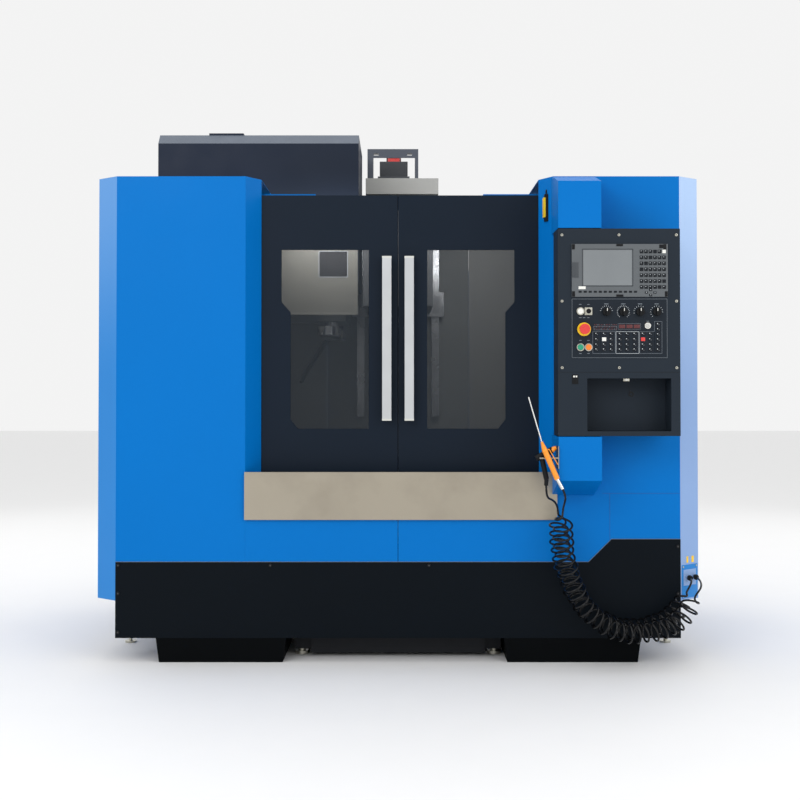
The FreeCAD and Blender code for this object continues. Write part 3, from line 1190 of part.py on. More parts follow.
def build_coolant_gun():
    """Pistol-shaped coolant gun: barrel, grip and hose fitting, and its trigger."""
    rear, mouth, heel, foot, hose_end = gun_line(COOLANT_GUN, "coolant_gun_front")
    along = (mouth - rear).normalize()
    tip_start = mouth - along * number("coolant_tip_length")
    barrel = bar(number("coolant_barrel_radius"), rear, tip_start)
    tip = tapered_bar(number("coolant_barrel_radius"), number("coolant_tip_radius"), tip_start, mouth)
    grip = bar(number("coolant_grip_radius"), heel, foot)
    fitting = bar(number("coolant_fitting_radius"), foot, hose_end)
    shaped("coolant_gun", barrel.fuse([tip, grip, fitting]).removeSplitter())

    below = Vector(along.z, 0, -along.x)
    drop = number("coolant_barrel_radius + trigger_pin + clearance")
    root = rear + along * number("coolant_trigger_start") + below * drop
    end = root + Vector(number("coolant_trigger_forward"), 0, -number("coolant_trigger_length"))
    shaped("coolant_trigger", trigger_shape(root, end))


def build_gun_holder():
    """Plate on the side of the lower arm with the peg that both guns hang on, and the hose fittings."""
    plate = box("gun_plate", at("arm_box_left - sheet", "-holder_front", "holder_bottom"),
                at("arm_box_left", "-holder_back", "holder_top"))
    peg = rod("gun_peg", "peg_radius", at("arm_box_left - sheet - peg_length", "-peg_front", "peg_height"),
              "peg_length + over", "x")
    holder = fuse("gun_hook", plate, peg)
    pieces = [holder]
    angle = math.atan2(number("facet_depth"), number("(body_width - front_width) / 2"))
    along = Vector(math.cos(angle), math.sin(angle), 0)
    outward = Vector(math.sin(angle), -math.cos(angle), 0)
    corner = Vector(number("front_width / 2"), number("front_y"), number("fitting_height"))
    width = number("fitting_plate_width")
    middle = corner + along * (width / 2 + number("fitting_plate_inset"))
    height = number("fitting_plate_height")
    back_plate = Part.makeBox(width, number("fitting_plate_thick"), height)
    back_plate.Placement = Placement(
        middle - along * (width / 2) + outward * number("fitting_plate_thick") - Vector(0, 0, height / 2),
        Rotation(along, -outward, Vector(0, 0, 1), "XYZ"))
    shapes = [back_plate]
    for x in (number("fitting_left"), number("fitting_right")):
        reach = (x - number("front_width / 2")) / math.cos(angle)
        face = corner + along * reach
        end = face + Vector(0, -number("fitting_length"), 0)
        nut_end = end + Vector(0, number("fitting_nut_length"), 0)
        shapes.append(bar(number("fitting_radius"), face, end))
        shapes.append(bar(number("fitting_nut_radius"), nut_end,
                          end + Vector(0, number("fitting_nut_thick"), 0)))
    inside = Part.makeBox(4 * width, width, 4 * height)
    inside.Placement = Placement(corner - along * width - Vector(0, 0, 2 * height),
                                 Rotation(along, -outward, Vector(0, 0, 1), "XYZ"))
    fittings = doc.addObject("Part::Feature", "hose_fitting_shapes")
    fittings.Shape = shapes[0].fuse(shapes[1:]).cut(inside).removeSplitter()
    pieces.append(fittings)
    subpart("gun_holder_and_fittings", group("gun_holder_and_fittings", *pieces))


def rounded_path(points):
    """Straight runs joined by tangent arcs as large as the runs allow; returns the wire and its radii."""
    edges = []
    radii = []
    start = points[0]
    for before, corner, after in zip(points, points[1:], points[2:]):
        into = corner - before
        out = after - corner
        shorter = min(into.Length, out.Length)
        into.normalize()
        out.normalize()
        turn = into.getAngle(out)
        cut_back = CUT_BACK_SHARE * shorter
        radii.append(cut_back / math.tan(turn / 2))
        arc_start = corner - into * cut_back
        arc_end = corner + out * cut_back
        inward = (out - into).normalize()
        apex_distance = radii[-1] * (1 / math.cos(turn / 2) - 1)
        arc_middle = corner + inward * apex_distance
        edges.append(Part.LineSegment(start, arc_start).toShape())
        edges.append(Part.Arc(arc_start, arc_middle, arc_end).toShape())
        start = arc_end
    edges.append(Part.LineSegment(start, points[-1]).toShape())
    return Part.Wire(edges), radii


def tube(name, points, radius):
    """Solid tube along a hand-picked route, with its volume compared with section times length."""
    wire, radii = rounded_path([spot(*point) for point in points])
    first = wire.Edges[0]
    start = first.FirstParameter
    ring = Part.Wire(Part.Circle(first.valueAt(start), first.tangentAt(start), radius).toShape())
    solid = wire.makePipeShell([ring], True, False)
    expected = math.pi * radius ** 2 * wire.Length
    ratio = solid.Volume / expected
    bends = [round(bend) for bend in radii]
    print(f"{name}: length {wire.Length:.0f} mm, radii {bends}, volume ratio {ratio:.4f}")
    if abs(ratio - 1) > VOLUME_TOLERANCE:
        raise RuntimeError(f"{name} has volume ratio {ratio:.4f}")
    return solid


def build_hose(name, route):
    """Coiled hose: plain leads to the wall and to the gun, and one fat tube round the coil."""
    leads = [tube(f"{name} {part}", route[part], number("hose_radius"))
             for part in ("wall_lead", "gun_lead")]
    coil = tube(f"{name} coil", route["coil"], number("coil_radius"))
    shaped(name, coil.fuse(leads))


# ---------------------------------------------------------------- assembly and files

def check_and_write():
    """Recomputes, refuses any failed object or bad shape, and writes one STEP file a sub-part."""
    doc.recompute()
    failed = [item.Name for item in doc.Objects if {"Invalid", "Error"} & set(item.State)]
    if failed:
        raise RuntimeError(f"failed objects: {failed}")
    for name, item in SUBPARTS.items():
        if item.Shape.isNull() or not item.Shape.isValid() or not item.Shape.Solids:
            raise RuntimeError(f"{name} has a bad shape")
    os.makedirs("parts", exist_ok=True)
    for name, item in SUBPARTS.items():
        item.Shape.exportStep(f"parts/{name}.step")
    volume = sum(item.Shape.Volume for item in SUBPARTS.values()) / 1e9
    print(f"{len(SUBPARTS)} sub-parts, {volume:.3f} cubic metres of solid")


fill_sheet()
cabinet("left", -1, "left_front_edge", "left_opening",
        [("body_width / 2 - roof_strip", "cabinet_depth"), ("body_width / 2 - roof_strip", "left_roof_depth"),
         ("left_opening", "left_roof_depth")])
cabinet("right", 1, "right_front_edge", "right_opening", [("right_opening", "cabinet_depth")])
build_rear_guard()
build_lower_front()
build_inner_guard()
build_door_tracks()
build_door("left", -1, "left_door_width")
build_door("right", 1, "right_door_width")
build_bed()
build_column()
build_rails()
build_saddle()
build_table()
build_screws()
build_motors()
build_head()
build_magazine()
build_tanks()
build_feet()
build_electrical_cabinet()
build_panel_arms()
build_panel_housing()
build_display()
build_operator_plate()
build_controls()
build_air_gun()
build_coolant_gun()
build_gun_holder()
build_hose("air_hose", AIR_HOSE)
build_hose("coolant_hose", COOLANT_HOSE)
check_and_write()
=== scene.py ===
"""Looks of a guarded vertical machining center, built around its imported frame.

Metres, +Z up, operator's side towards -Y.  Depths are counted from the front of the cabinets, towards
the back, as in the part's source.
"""

import math

import bmesh
import bpy
from mathutils import Matrix, Vector


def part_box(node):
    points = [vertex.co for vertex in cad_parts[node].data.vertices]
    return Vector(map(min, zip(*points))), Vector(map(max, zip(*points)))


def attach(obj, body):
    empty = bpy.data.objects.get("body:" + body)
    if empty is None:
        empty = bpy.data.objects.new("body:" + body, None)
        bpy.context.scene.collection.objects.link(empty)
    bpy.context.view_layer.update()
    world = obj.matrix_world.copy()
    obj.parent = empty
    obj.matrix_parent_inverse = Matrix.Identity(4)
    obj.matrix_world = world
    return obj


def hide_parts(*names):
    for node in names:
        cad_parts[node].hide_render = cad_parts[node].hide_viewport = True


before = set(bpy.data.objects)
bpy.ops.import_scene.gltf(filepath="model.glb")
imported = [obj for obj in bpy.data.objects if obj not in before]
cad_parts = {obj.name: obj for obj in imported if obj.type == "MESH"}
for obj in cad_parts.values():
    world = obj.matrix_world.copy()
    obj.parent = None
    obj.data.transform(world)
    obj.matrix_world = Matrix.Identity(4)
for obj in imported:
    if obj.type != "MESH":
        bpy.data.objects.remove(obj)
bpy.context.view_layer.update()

MM = 0.001
FRONT_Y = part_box("left_cabinet")[0].y


def spot(x, depth, height):
    """Point of the machine from millimetres, the depth counted from the cabinet fronts."""
    return Vector((x * MM, FRONT_Y + depth * MM, height * MM))


# ---------------------------------------------------------------- materials

def linear(red, green, blue):
    """Scene colour of an 8-bit screen colour."""
    def channel(value):
        share = value / 255
        return share / 12.92 if share <= 0.04045 else ((share + 0.055) / 1.055) ** 2.4
    return (channel(red), channel(green), channel(blue), 1.0)


def shade(colour, factor):
    return tuple(min(1.0, part * factor) for part in colour[:3]) + (1.0,)


class Surface:
    """Material of a Principled shader with noise in its colour, its roughness and its bump."""

    def __init__(self, name, colour, rough, metal=0.0, mottle=0.08, mottle_size=0.25,
                 rough_spread=0.06, grain=0.0006, grain_depth=0.00003, stretch=(1, 1, 1), edge=0.0,
                 gloss=0.5):
        self.material = bpy.data.materials.new(name)
        self.material.use_nodes = True
        self.nodes = self.material.node_tree.nodes
        self.links = self.material.node_tree.links
        self.shader = self.nodes["Principled BSDF"]
        self.shader.inputs["Metallic"].default_value = metal
        self.shader.inputs["Specular IOR Level"].default_value = gloss
        self.place = self.add("ShaderNodeTexCoord").outputs["Object"]
        cloud = self.noise(1 / mottle_size, 4)
        self.colour = self.mix(cloud, shade(colour, 1 - mottle), shade(colour, 1 + mottle))
        self.rough = self.spread(self.noise(3 / mottle_size, 3), rough - rough_spread,
                                 rough + rough_spread)
        fine = self.noise(1 / grain, 2, stretch)
        self.bump = self.add("ShaderNodeBump")
        self.bump.inputs["Strength"].default_value = 1.0
        self.bump.inputs["Distance"].default_value = grain_depth
        self.links.new(fine, self.bump.inputs["Height"])
        if edge:
            bevel = self.add("ShaderNodeBevel")
            bevel.samples = 4
            bevel.inputs["Radius"].default_value = edge
            self.links.new(bevel.outputs["Normal"], self.bump.inputs["Normal"])
        self.finish()

    def add(self, kind):
        return self.nodes.new(kind)

    def noise(self, scale, detail, stretch=(1, 1, 1)):
        """Noise over the object's own coordinates, drawn out along an axis by a small stretch."""
        mapping = self.add("ShaderNodeMapping")
        mapping.inputs["Scale"].default_value = stretch
        self.links.new(self.place, mapping.inputs["Vector"])
        noise = self.add("ShaderNodeTexNoise")
        noise.inputs["Scale"].default_value = scale
        noise.inputs["Detail"].default_value = detail
        self.links.new(mapping.outputs["Vector"], noise.inputs["Vector"])
        return noise.outputs["Fac"]

    def spread(self, factor, low, high):
        scale = self.add("ShaderNodeMapRange")
        scale.inputs["From Min"].default_value = 0.3
        scale.inputs["From Max"].default_value = 0.7
        scale.inputs["To Min"].default_value = max(0.02, low)
        scale.inputs["To Max"].default_value = min(1.0, high)
        self.links.new(factor, scale.inputs["Value"])
        return scale.outputs["Result"]

    def mix(self, factor, low, high):
        blend = self.add("ShaderNodeMix")
        blend.data_type = "RGBA"
        for socket, value in (("A", low), ("B", high)):
            target = next(x for x in blend.inputs if x.name == socket and x.type == "RGBA")
            if isinstance(value, tuple):
                target.default_value = value
            else:
                self.links.new(value, target)
        self.links.new(factor, blend.inputs["Factor"])
        return next(x for x in blend.outputs if x.type == "RGBA")

    def finish(self):
        self.links.new(self.colour, self.shader.inputs["Base Color"])
        self.links.new(self.rough, self.shader.inputs["Roughness"])
        self.links.new(self.bump.outputs["Normal"], self.shader.inputs["Normal"])

    def coat(self, weight, rough):
        self.shader.inputs["Coat Weight"].default_value = weight
        self.shader.inputs["Coat Roughness"].default_value = rough
        return self

    def smudges(self, colour, size, low, high, rough):
        """Larger soft stains that darken the colour and dull the gloss."""
        stain = self.spread(self.noise(1 / size, 6), 0.0, 1.0)
        ramp = self.add("ShaderNodeMapRange")
        ramp.inputs["From Min"].default_value = low
        ramp.inputs["From Max"].default_value = high
        self.links.new(stain, ramp.inputs["Value"])
        self.colour = self.mix(ramp.outputs["Result"], self.colour, colour)
        dull = self.add("ShaderNodeMapRange")
        dull.inputs["To Min"].default_value = 0.0
        dull.inputs["To Max"].default_value = rough
        self.links.new(ramp.outputs["Result"], dull.inputs["Value"])
        total = self.add("ShaderNodeMath")
        total.operation = "ADD"
        self.links.new(self.rough, total.inputs[0])
        self.links.new(dull.outputs["Result"], total.inputs[1])
        self.rough = total.outputs["Value"]
        self.finish()
        return self

    def height_fade(self, low_z, high_z, colour):
        """Colour that takes over towards the upper height, used for a painted highlight that grows towards
        the top.
        """
        split = self.add("ShaderNodeSeparateXYZ")
        self.links.new(self.place, split.inputs["Vector"])
        ramp = self.add("ShaderNodeMapRange")
        ramp.interpolation_type = "SMOOTHSTEP"
        ramp.inputs["From Min"].default_value = low_z
        ramp.inputs["From Max"].default_value = high_z
        self.links.new(split.outputs["Z"], ramp.inputs["Value"])
        self.colour = self.mix(ramp.outputs["Result"], self.colour, colour)
        self.finish()
        return self


def make_glass(name, tint, clear):
    """Tinted pane: partly see-through, with the gloss of glass over it and faint wipe marks."""
    surface = Surface(name, tint, 0.04, mottle=0.15, rough_spread=0.02, grain=0.02, grain_depth=0.00001)
    surface.shader.inputs["Alpha"].default_value = clear
    surface.shader.inputs["Specular IOR Level"].default_value = 0.35
    return surface.material


def make_light(name, colour, strength):
    surface = Surface(name, colour, 0.3)
    surface.shader.inputs["Emission Color"].default_value = colour
    surface.shader.inputs["Emission Strength"].default_value = strength
    return surface.material


BLUE = linear(0, 111, 192)
# Lighter blues for the slanting facets of the cabinets: painted highlight where a facet faces the lamps,
# lighter still towards the top.
LIT_FACET_BLUE = linear(36, 128, 204)
GLARE_BLUE = linear(138, 168, 214)
BLUE_PAINT = Surface("blue_powder_coat", BLUE, 0.42, gloss=0.08, mottle=0.04, mottle_size=0.6, grain=0.0018,
                     grain_depth=0.00006, edge=0.0025).material
LIT_FACET_PAINT = Surface("blue_facet_painted_highlight", LIT_FACET_BLUE, 0.40, gloss=0.25, mottle=0.05, mottle_size=0.5,
                      grain=0.0018, grain_depth=0.00006, edge=0.0025).height_fade(
                          1.2, 2.2, linear(96, 152, 214)).material
GLARE_PAINT = Surface("blue_glare_coat", GLARE_BLUE, 0.40, gloss=0.25, mottle=0.05, mottle_size=0.5,
                      grain=0.0018, grain_depth=0.00006, edge=0.0025).height_fade(
                          1.0, 2.2, linear(178, 205, 242)).material
DARK_BLUE = Surface("blue_fold_shade", linear(0, 84, 156), 0.5, mottle=0.05, grain=0.0018).material
DOOR_PAINT = Surface("door_paint", linear(18, 29, 42), 0.42, gloss=0.12, mottle=0.10, mottle_size=0.5,
                     grain=0.0015,
                     grain_depth=0.00005, edge=0.002).material
COVER_PAINT = Surface("magazine_paint", linear(30, 39, 54), 0.42, gloss=0.15, mottle=0.10, mottle_size=0.4,
                      grain=0.0015, grain_depth=0.00005, edge=0.002).material
# Pale grey for the cabinet's upward-facing front slope: painted highlight.
LIT_SLOPE_PAINT = Surface("magazine_slope_painted_highlight", linear(92, 100, 112), 0.40, gloss=0.2, mottle=0.12, mottle_size=0.12,
                     grain=0.0015, grain_depth=0.00005).material
SKIRT_PAINT = Surface("skirt_paint", linear(6, 13, 20), 0.45, gloss=0.08, mottle=0.12, mottle_size=0.5,
                      grain=0.0015, grain_depth=0.00005, edge=0.002).material
TANK_PAINT = Surface("tank_paint", linear(4, 6, 8), 0.6, gloss=0.05, mottle=0.15, grain=0.002).material
PANEL_PAINT = Surface("panel_paint", linear(35, 43, 52), 0.5, gloss=0.12, mottle=0.06, mottle_size=0.3,
                      grain=0.0011, grain_depth=0.00005, edge=0.0015).material
MEMBRANE = Surface("membrane", linear(31, 38, 46), 0.4, gloss=0.12, mottle=0.05, mottle_size=0.1,
                   grain=0.0008,
                   grain_depth=0.00002).material
STAINLESS = Surface("brushed_stainless", linear(172, 164, 149), 0.36, metal=1.0, mottle=0.06,
                    mottle_size=0.3, rough_spread=0.05, grain=0.0008, grain_depth=0.00005,
                    stretch=(0.02, 1, 1), edge=0.001).smudges(
                        linear(160, 152, 138), 0.22, 0.45, 1.1, 0.08).material
LINING = Surface("lining_sheet", linear(150, 150, 146), 0.5, metal=0.1, mottle=0.10, mottle_size=0.5,
                 grain=0.001, stretch=(1, 1, 0.05)).material
SHEET = Surface("changer_sheet", linear(150, 148, 139), 0.5, metal=0.1, mottle=0.08, mottle_size=0.3,
                grain=0.001, stretch=(1, 1, 0.05)).material
ALUMINIUM = Surface("satin_aluminium", linear(200, 203, 205), 0.36, metal=0.85, mottle=0.03,
                    grain=0.0006, grain_depth=0.00003, stretch=(1, 1, 0.03), edge=0.003).material
END_CAP = Surface("end_cap", linear(205, 206, 200), 0.5, mottle=0.05, grain=0.001).material
CASTING = Surface("casting_paint", linear(132, 134, 131), 0.55, mottle=0.08, mottle_size=0.15,
                  grain=0.004, grain_depth=0.0002).material
# Dark grey over the whole bed, darker than the other castings: painted shade for the dark low in the work
# space.
BED_SHADE_PAINT = Surface("bed_paint_with_painted_shade", linear(30, 32, 36), 0.55, gloss=0.15, mottle=0.10, mottle_size=0.2,
                    grain=0.004, grain_depth=0.0002).material
HEAD_PAINT = Surface("head_paint", linear(92, 94, 96), 0.5, mottle=0.08, mottle_size=0.15, grain=0.003,
                     grain_depth=0.0001, edge=0.003).material
GROUND_STEEL = Surface("ground_steel", linear(190, 192, 194), 0.26, metal=1.0, mottle=0.06,
                       grain=0.0008, stretch=(1, 0.05, 1)).material
ZINC = Surface("zinc_plate", linear(190, 188, 176), 0.34, metal=1.0, mottle=0.15, mottle_size=0.02,
               grain=0.001).material
SEAT_PAINT = Surface("seat_paint", linear(172, 172, 168), 0.5, mottle=0.06, mottle_size=0.1,
                     grain=0.003, grain_depth=0.00015, edge=0.003).material
PORTAL_PAINT = Surface("portal_paint", linear(70, 76, 88), 0.42, mottle=0.10, mottle_size=0.1,
                       grain=0.0015, edge=0.0015).material
SERVO_BLACK = Surface("servo_black", linear(58, 62, 68), 0.45, mottle=0.10, mottle_size=0.05,
                      grain=0.001).material
CASE_GREY = Surface("case_grey", linear(168, 170, 168), 0.5, mottle=0.04, mottle_size=0.3,
                    grain=0.0015, edge=0.002).material
BEZEL = Surface("bezel", linear(86, 91, 95), 0.42, mottle=0.05, mottle_size=0.05, grain=0.0008).material
SCREEN_EDGE = Surface("screen_edge", linear(60, 65, 70), 0.35, mottle=0.05, grain=0.0008).material
SCREEN = Surface("screen", linear(122, 127, 130), 0.16, mottle=0.08, mottle_size=0.12,
                 grain=0.002, grain_depth=0.00001).material
BLACK = Surface("black_moulding", linear(13, 15, 18), 0.42, gloss=0.2, mottle=0.10, mottle_size=0.02,
                grain=0.0008).material
KEY = Surface("key_moulding", linear(24, 28, 33), 0.5, gloss=0.15, mottle=0.08, mottle_size=0.02,
              grain=0.0008).material
WHITE = Surface("white_moulding", linear(232, 232, 226), 0.32, mottle=0.03, grain=0.0008).material
MARK = Surface("pale_print", linear(190, 196, 200), 0.5, mottle=0.05, mottle_size=0.01,
               grain=0.0006).material
# Grey print on the operator's plate, also used for the painted highlight along the skirt's top edge.
GREY_PRINT_AND_HIGHLIGHT = Surface("grey_print_and_painted_highlight", linear(118, 126, 134), 0.5, mottle=0.05, mottle_size=0.01,
                    grain=0.0006).material
RED = Surface("red_moulding", linear(214, 52, 48), 0.3, mottle=0.06, mottle_size=0.02,
              grain=0.0008).coat(0.3, 0.2).material
YELLOW = Surface("yellow_moulding", linear(247, 202, 22), 0.35, mottle=0.05, mottle_size=0.02,
                 grain=0.0008).material
GREEN = Surface("green_lens", linear(18, 150, 112), 0.22, mottle=0.10, mottle_size=0.01,
                grain=0.0008).coat(0.4, 0.1).material
ORANGE = Surface("orange_lens", linear(245, 128, 28), 0.22, mottle=0.10, mottle_size=0.01,
                 grain=0.0008).coat(0.4, 0.1).material
GUN_ORANGE = Surface("gun_orange", linear(250, 152, 30), 0.34, mottle=0.08, mottle_size=0.03,
                     grain=0.001).coat(0.2, 0.2).material
DARK_RED = Surface("display_window", linear(92, 40, 42), 0.2, mottle=0.15, mottle_size=0.005,
                   grain=0.001, grain_depth=0.00001).material
LED_OFF = Surface("unlit_led", linear(120, 62, 60), 0.3, mottle=0.2, mottle_size=0.004,
                  grain=0.0008).material
CHROME = Surface("polished_steel", linear(225, 225, 222), 0.14, metal=1.0, mottle=0.05,
                 grain=0.001, grain_depth=0.00001).material
BRASS = Surface("plated_fitting", linear(176, 172, 160), 0.3, metal=1.0, mottle=0.15,
                mottle_size=0.01, grain=0.001).material
HOSE = Surface("polyurethane_hose", linear(12, 13, 15), 0.22, gloss=0.22, mottle=0.10, mottle_size=0.05,
               grain=0.001, grain_depth=0.00001).coat(0.12, 0.1).material
# Dark grey that stands in for the shade inside bolt sockets and the changer hatch: painted shade.
HOLLOW_SHADE = Surface("painted_hollow_shade", linear(58, 58, 60), 0.7, mottle=0.1, grain=0.002).material
WINDOW_GLASS = make_glass("window_glass", linear(34, 42, 50), 0.44)
LAMP = make_light("work_lamp", linear(255, 250, 240), 1.0)

NODE_MATERIALS = {
    BLUE_PAINT: ("left_cabinet", "right_cabinet", "rear_guard", "lower_front_panels", "door_tracks",
                 "panel_arms"),
    STAINLESS: ("apron",),
    SKIRT_PAINT: ("base_skirt",),
    LINING: ("inner_guard",),
    DOOR_PAINT: ("left_door", "right_door"),
    WINDOW_GLASS: ("left_window", "right_window"),
    ALUMINIUM: ("left_handle", "right_handle"),
    CASTING: ("saddle", "column", "tool_changer"),
    BED_SHADE_PAINT: ("bed",),
    HEAD_PAINT: ("spindle_head",),
    GROUND_STEEL: ("guide_rails", "saddle_guides", "table", "table_guides", "x_ball_screw",
                   "y_ball_screw", "z_ball_screw", "spindle", "head_guides", "tool_arm"),
    SERVO_BLACK: ("x_servo", "y_servo", "spindle_motor", "z_servo"),
    PORTAL_PAINT: ("z_motor_portal",),
    COVER_PAINT: ("magazine_cover",),
    ZINC: ("magazine_disc", "levelling_feet"),
    TANK_PAINT: ("coolant_tanks",),
    CASE_GREY: ("electrical_cabinet", "electrical_door"),
    PANEL_PAINT: ("panel_housing",),
    BEZEL: ("display_unit",),
    MEMBRANE: ("operator_plate",),
    WHITE: ("white_button",),
    GREEN: ("green_button",),
    ORANGE: ("orange_button",),
    RED: ("emergency_stop",),
    BLACK: ("mode_knob", "feed_knob", "rapid_knob", "spindle_knob", "coolant_gun",
            "coolant_trigger"),
    CHROME: ("key_switch",),
    GUN_ORANGE: ("air_gun", "air_lever"),
    BRASS: ("gun_holder_and_fittings",),
}


def paint_nodes():
    """Gives every carried-over CAD node its material."""
    for material, names in NODE_MATERIALS.items():
        for name in names:
            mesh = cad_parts[name].data
            mesh.materials.clear()
            mesh.materials.append(material)


def paint_faces(name, material, wanted):
    """Gives a second material to the faces of a CAD node whose centre and normal pass a test."""
    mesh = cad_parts[name].data
    mesh.materials.append(material)
    index = len(mesh.materials) - 1
    for face in mesh.polygons:
        if wanted(face.center, face.normal):
            face.material_index = index


# ---------------------------------------------------------------- pieces

class Piece:
    """One mesh made of rounded blocks, turned rods and rings, which rides on a CAD body."""

    def __init__(self, name, body):
        self.name = name
        self.body = body
        self.bm = bmesh.new()
        self.materials = []

    def take(self, part, material, bevel, segments=2):
        """Rounds a part's sharp edges and adds it to the piece."""
        if bevel:
            sharp = [edge for edge in part.edges
                     if len(edge.link_faces) == 2 and edge.calc_face_angle(0) > math.radians(35)]
            bmesh.ops.bevel(part, geom=sharp, offset=bevel, segments=segments, profile=0.7,
                            affect="EDGES", clamp_overlap=True)
        if material not in self.materials:
            self.materials.append(material)
        index = self.materials.index(material)
        for face in part.faces:
            face.material_index = index
            face.smooth = True
        mesh = bpy.data.meshes.new("part")
        part.to_mesh(mesh)
        part.free()
        self.bm.from_mesh(mesh)
        bpy.data.meshes.remove(mesh)
        return self

    def block(self, low, high, material, bevel=0.0005, turn=None):
        """Rounded block between two corners, turned about its middle by an optional matrix."""
        low, high = Vector(low), Vector(high)
        middle = (low + high) / 2
        part = bmesh.new()
        bmesh.ops.create_cube(part, size=1)
        matrix = Matrix.Translation(middle) @ (turn or Matrix.Identity(4)) @ Matrix.Diagonal(
            (*(high - low), 1))
        part.transform(matrix)
        return self.take(part, material, bevel)

    def rod(self, start, end, radius, material, end_radius=None, bevel=0.0005, sides=32):
        """Turned rod between two points."""
        start, end = Vector(start), Vector(end)
        part = bmesh.new()
        bmesh.ops.create_cone(part, cap_ends=True, segments=sides, radius1=radius,
                              radius2=radius if end_radius is None else end_radius,
                              depth=(end - start).length)
        turn = (end - start).to_track_quat("Z", "Y").to_matrix().to_4x4()
        part.transform(Matrix.Translation((start + end) / 2) @ turn)
        return self.take(part, material, bevel)

    def ring(self, start, end, inner, outer, material, bevel=0.0004, sides=40):
        """Flat-ended ring between two points."""
        start, end = Vector(start), Vector(end)
        part = bmesh.new()
        turn = (end - start).to_track_quat("Z", "Y").to_matrix().to_4x4()
        length = (end - start).length
        rows = []
        for radius, height in ((inner, 0), (outer, 0), (outer, length), (inner, length)):
            row = []
            for step in range(sides):
                angle = math.tau * step / sides
                row.append(part.verts.new((radius * math.cos(angle), radius * math.sin(angle), height)))
            rows.append(row)
        for near, far in zip(rows, rows[1:] + rows[:1]):
            for step in range(sides):
                after = (step + 1) % sides
                part.faces.new((near[step], near[after], far[after], far[step]))
        bmesh.ops.recalc_face_normals(part, faces=part.faces)
        part.transform(Matrix.Translation(start) @ turn)
        return self.take(part, material, bevel)

    def plate(self, corners, normal, thick, material, bevel=0.0003):
        """Flat plate with the given outline, thickened along a normal."""
        part = bmesh.new()
        base = part.faces.new([part.verts.new(Vector(corner)) for corner in corners])
        grown = bmesh.ops.extrude_face_region(part, geom=[base])
        moved = [item for item in grown["geom"] if isinstance(item, bmesh.types.BMVert)]
        bmesh.ops.translate(part, vec=Vector(normal) * thick, verts=moved)
        bmesh.ops.recalc_face_normals(part, faces=part.faces)
        return self.take(part, material, bevel)

    def done(self):
        mesh = bpy.data.meshes.new(self.name)
        self.bm.to_mesh(mesh)
        self.bm.free()
        for material in self.materials:
            mesh.materials.append(material)
        piece = bpy.data.objects.new(self.name, mesh)
        bpy.context.collection.objects.link(piece)
        mesh.set_sharp_from_angle(angle=math.radians(40))
        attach(piece, self.body)
        return piece


# ---------------------------------------------------------------- camera and stage

CAMERA_DISTANCE = 5.5
CAMERA_HEIGHT = 1.192
CAMERA_PITCH = math.radians(1.0)
CAMERA_SHIFT = (0.0025, -0.0125)
SENSOR = 36
SCALE = 0.0044
IMAGE = 800


def build_camera():
    data = bpy.data.cameras.new("camera")
    data.sensor_width = SENSOR
    data.lens = data.sensor_width * CAMERA_DISTANCE / (SCALE * IMAGE)
    rise = CAMERA_DISTANCE * math.tan(CAMERA_PITCH) / (SCALE * IMAGE)
    data.shift_x = CAMERA_SHIFT[0]
    data.shift_y = CAMERA_SHIFT[1] - rise
    camera = bpy.data.objects.new("camera", data)
    camera.location = (0, FRONT_Y - CAMERA_DISTANCE, CAMERA_HEIGHT)
    camera.rotation_euler = (math.pi / 2 + CAMERA_PITCH, 0, 0)
    bpy.context.collection.objects.link(camera)
    bpy.context.scene.camera = camera


# Name, place, aim, size and power of each lamp.
STUDIO_LAMPS = (
    ("key", (-3.2, -6.5, 4.2), (0, 0, 1.2), (3.5, 2.5), 110),
    ("fill", (4.2, -5.5, 3.0), (0, 0, 1.2), (3, 3), 60),
    ("work_space_left", (-0.34, -0.70, 1.98), (-0.34, 0.2, 1.2), (0.4, 0.1), 3.2),
    ("work_space_right", (0.34, -0.70, 1.98), (0.34, 0.2, 1.2), (0.4, 0.1), 3.2),
    ("top", (0, 0.5, 5.5), (0, 0, 1.0), (5, 4), 80),
    ("back_left", (-4.5, 4.5, 3.5), (-0.5, 0, 1.5), (3, 3), 30),
    ("back_right", (4.5, 4.5, 3.5), (0.5, 0, 1.5), (3, 3), 30),
)


def add_lamp(name, place, aim, size, power):
    data = bpy.data.lights.new(name, "AREA")
    data.shape = "RECTANGLE"
    data.size, data.size_y = size
    data.energy = power
    lamp = bpy.data.objects.new(name, data)
    lamp.location = place
    lamp.rotation_euler = (Vector(aim) - Vector(place)).to_track_quat("-Z", "Y").to_euler()
    bpy.context.collection.objects.link(lamp)


def build_stage():
    """Plain pale floor and soft studio light."""
    world = bpy.data.worlds.new("studio")
    world.use_nodes = True
    background = world.node_tree.nodes["Background"]
    background.inputs["Color"].default_value = (1.0, 1.0, 1.0, 1.0)
    background.inputs["Strength"].default_value = 0.9
    bpy.context.scene.world = world
    bpy.context.scene.view_settings.view_transform = "Standard"
    floor_paint = Surface("floor_paint", (0.86, 0.86, 0.86, 1.0), 0.7, mottle=0.01)
    bpy.ops.mesh.primitive_plane_add(size=60, location=(0, 0, -0.001))
    floor = bpy.context.object
    floor.name = "floor"
    floor.data.materials.append(floor_paint.material)
    for lamp in STUDIO_LAMPS:
        add_lamp(*lamp)


# ---------------------------------------------------------------- hoses

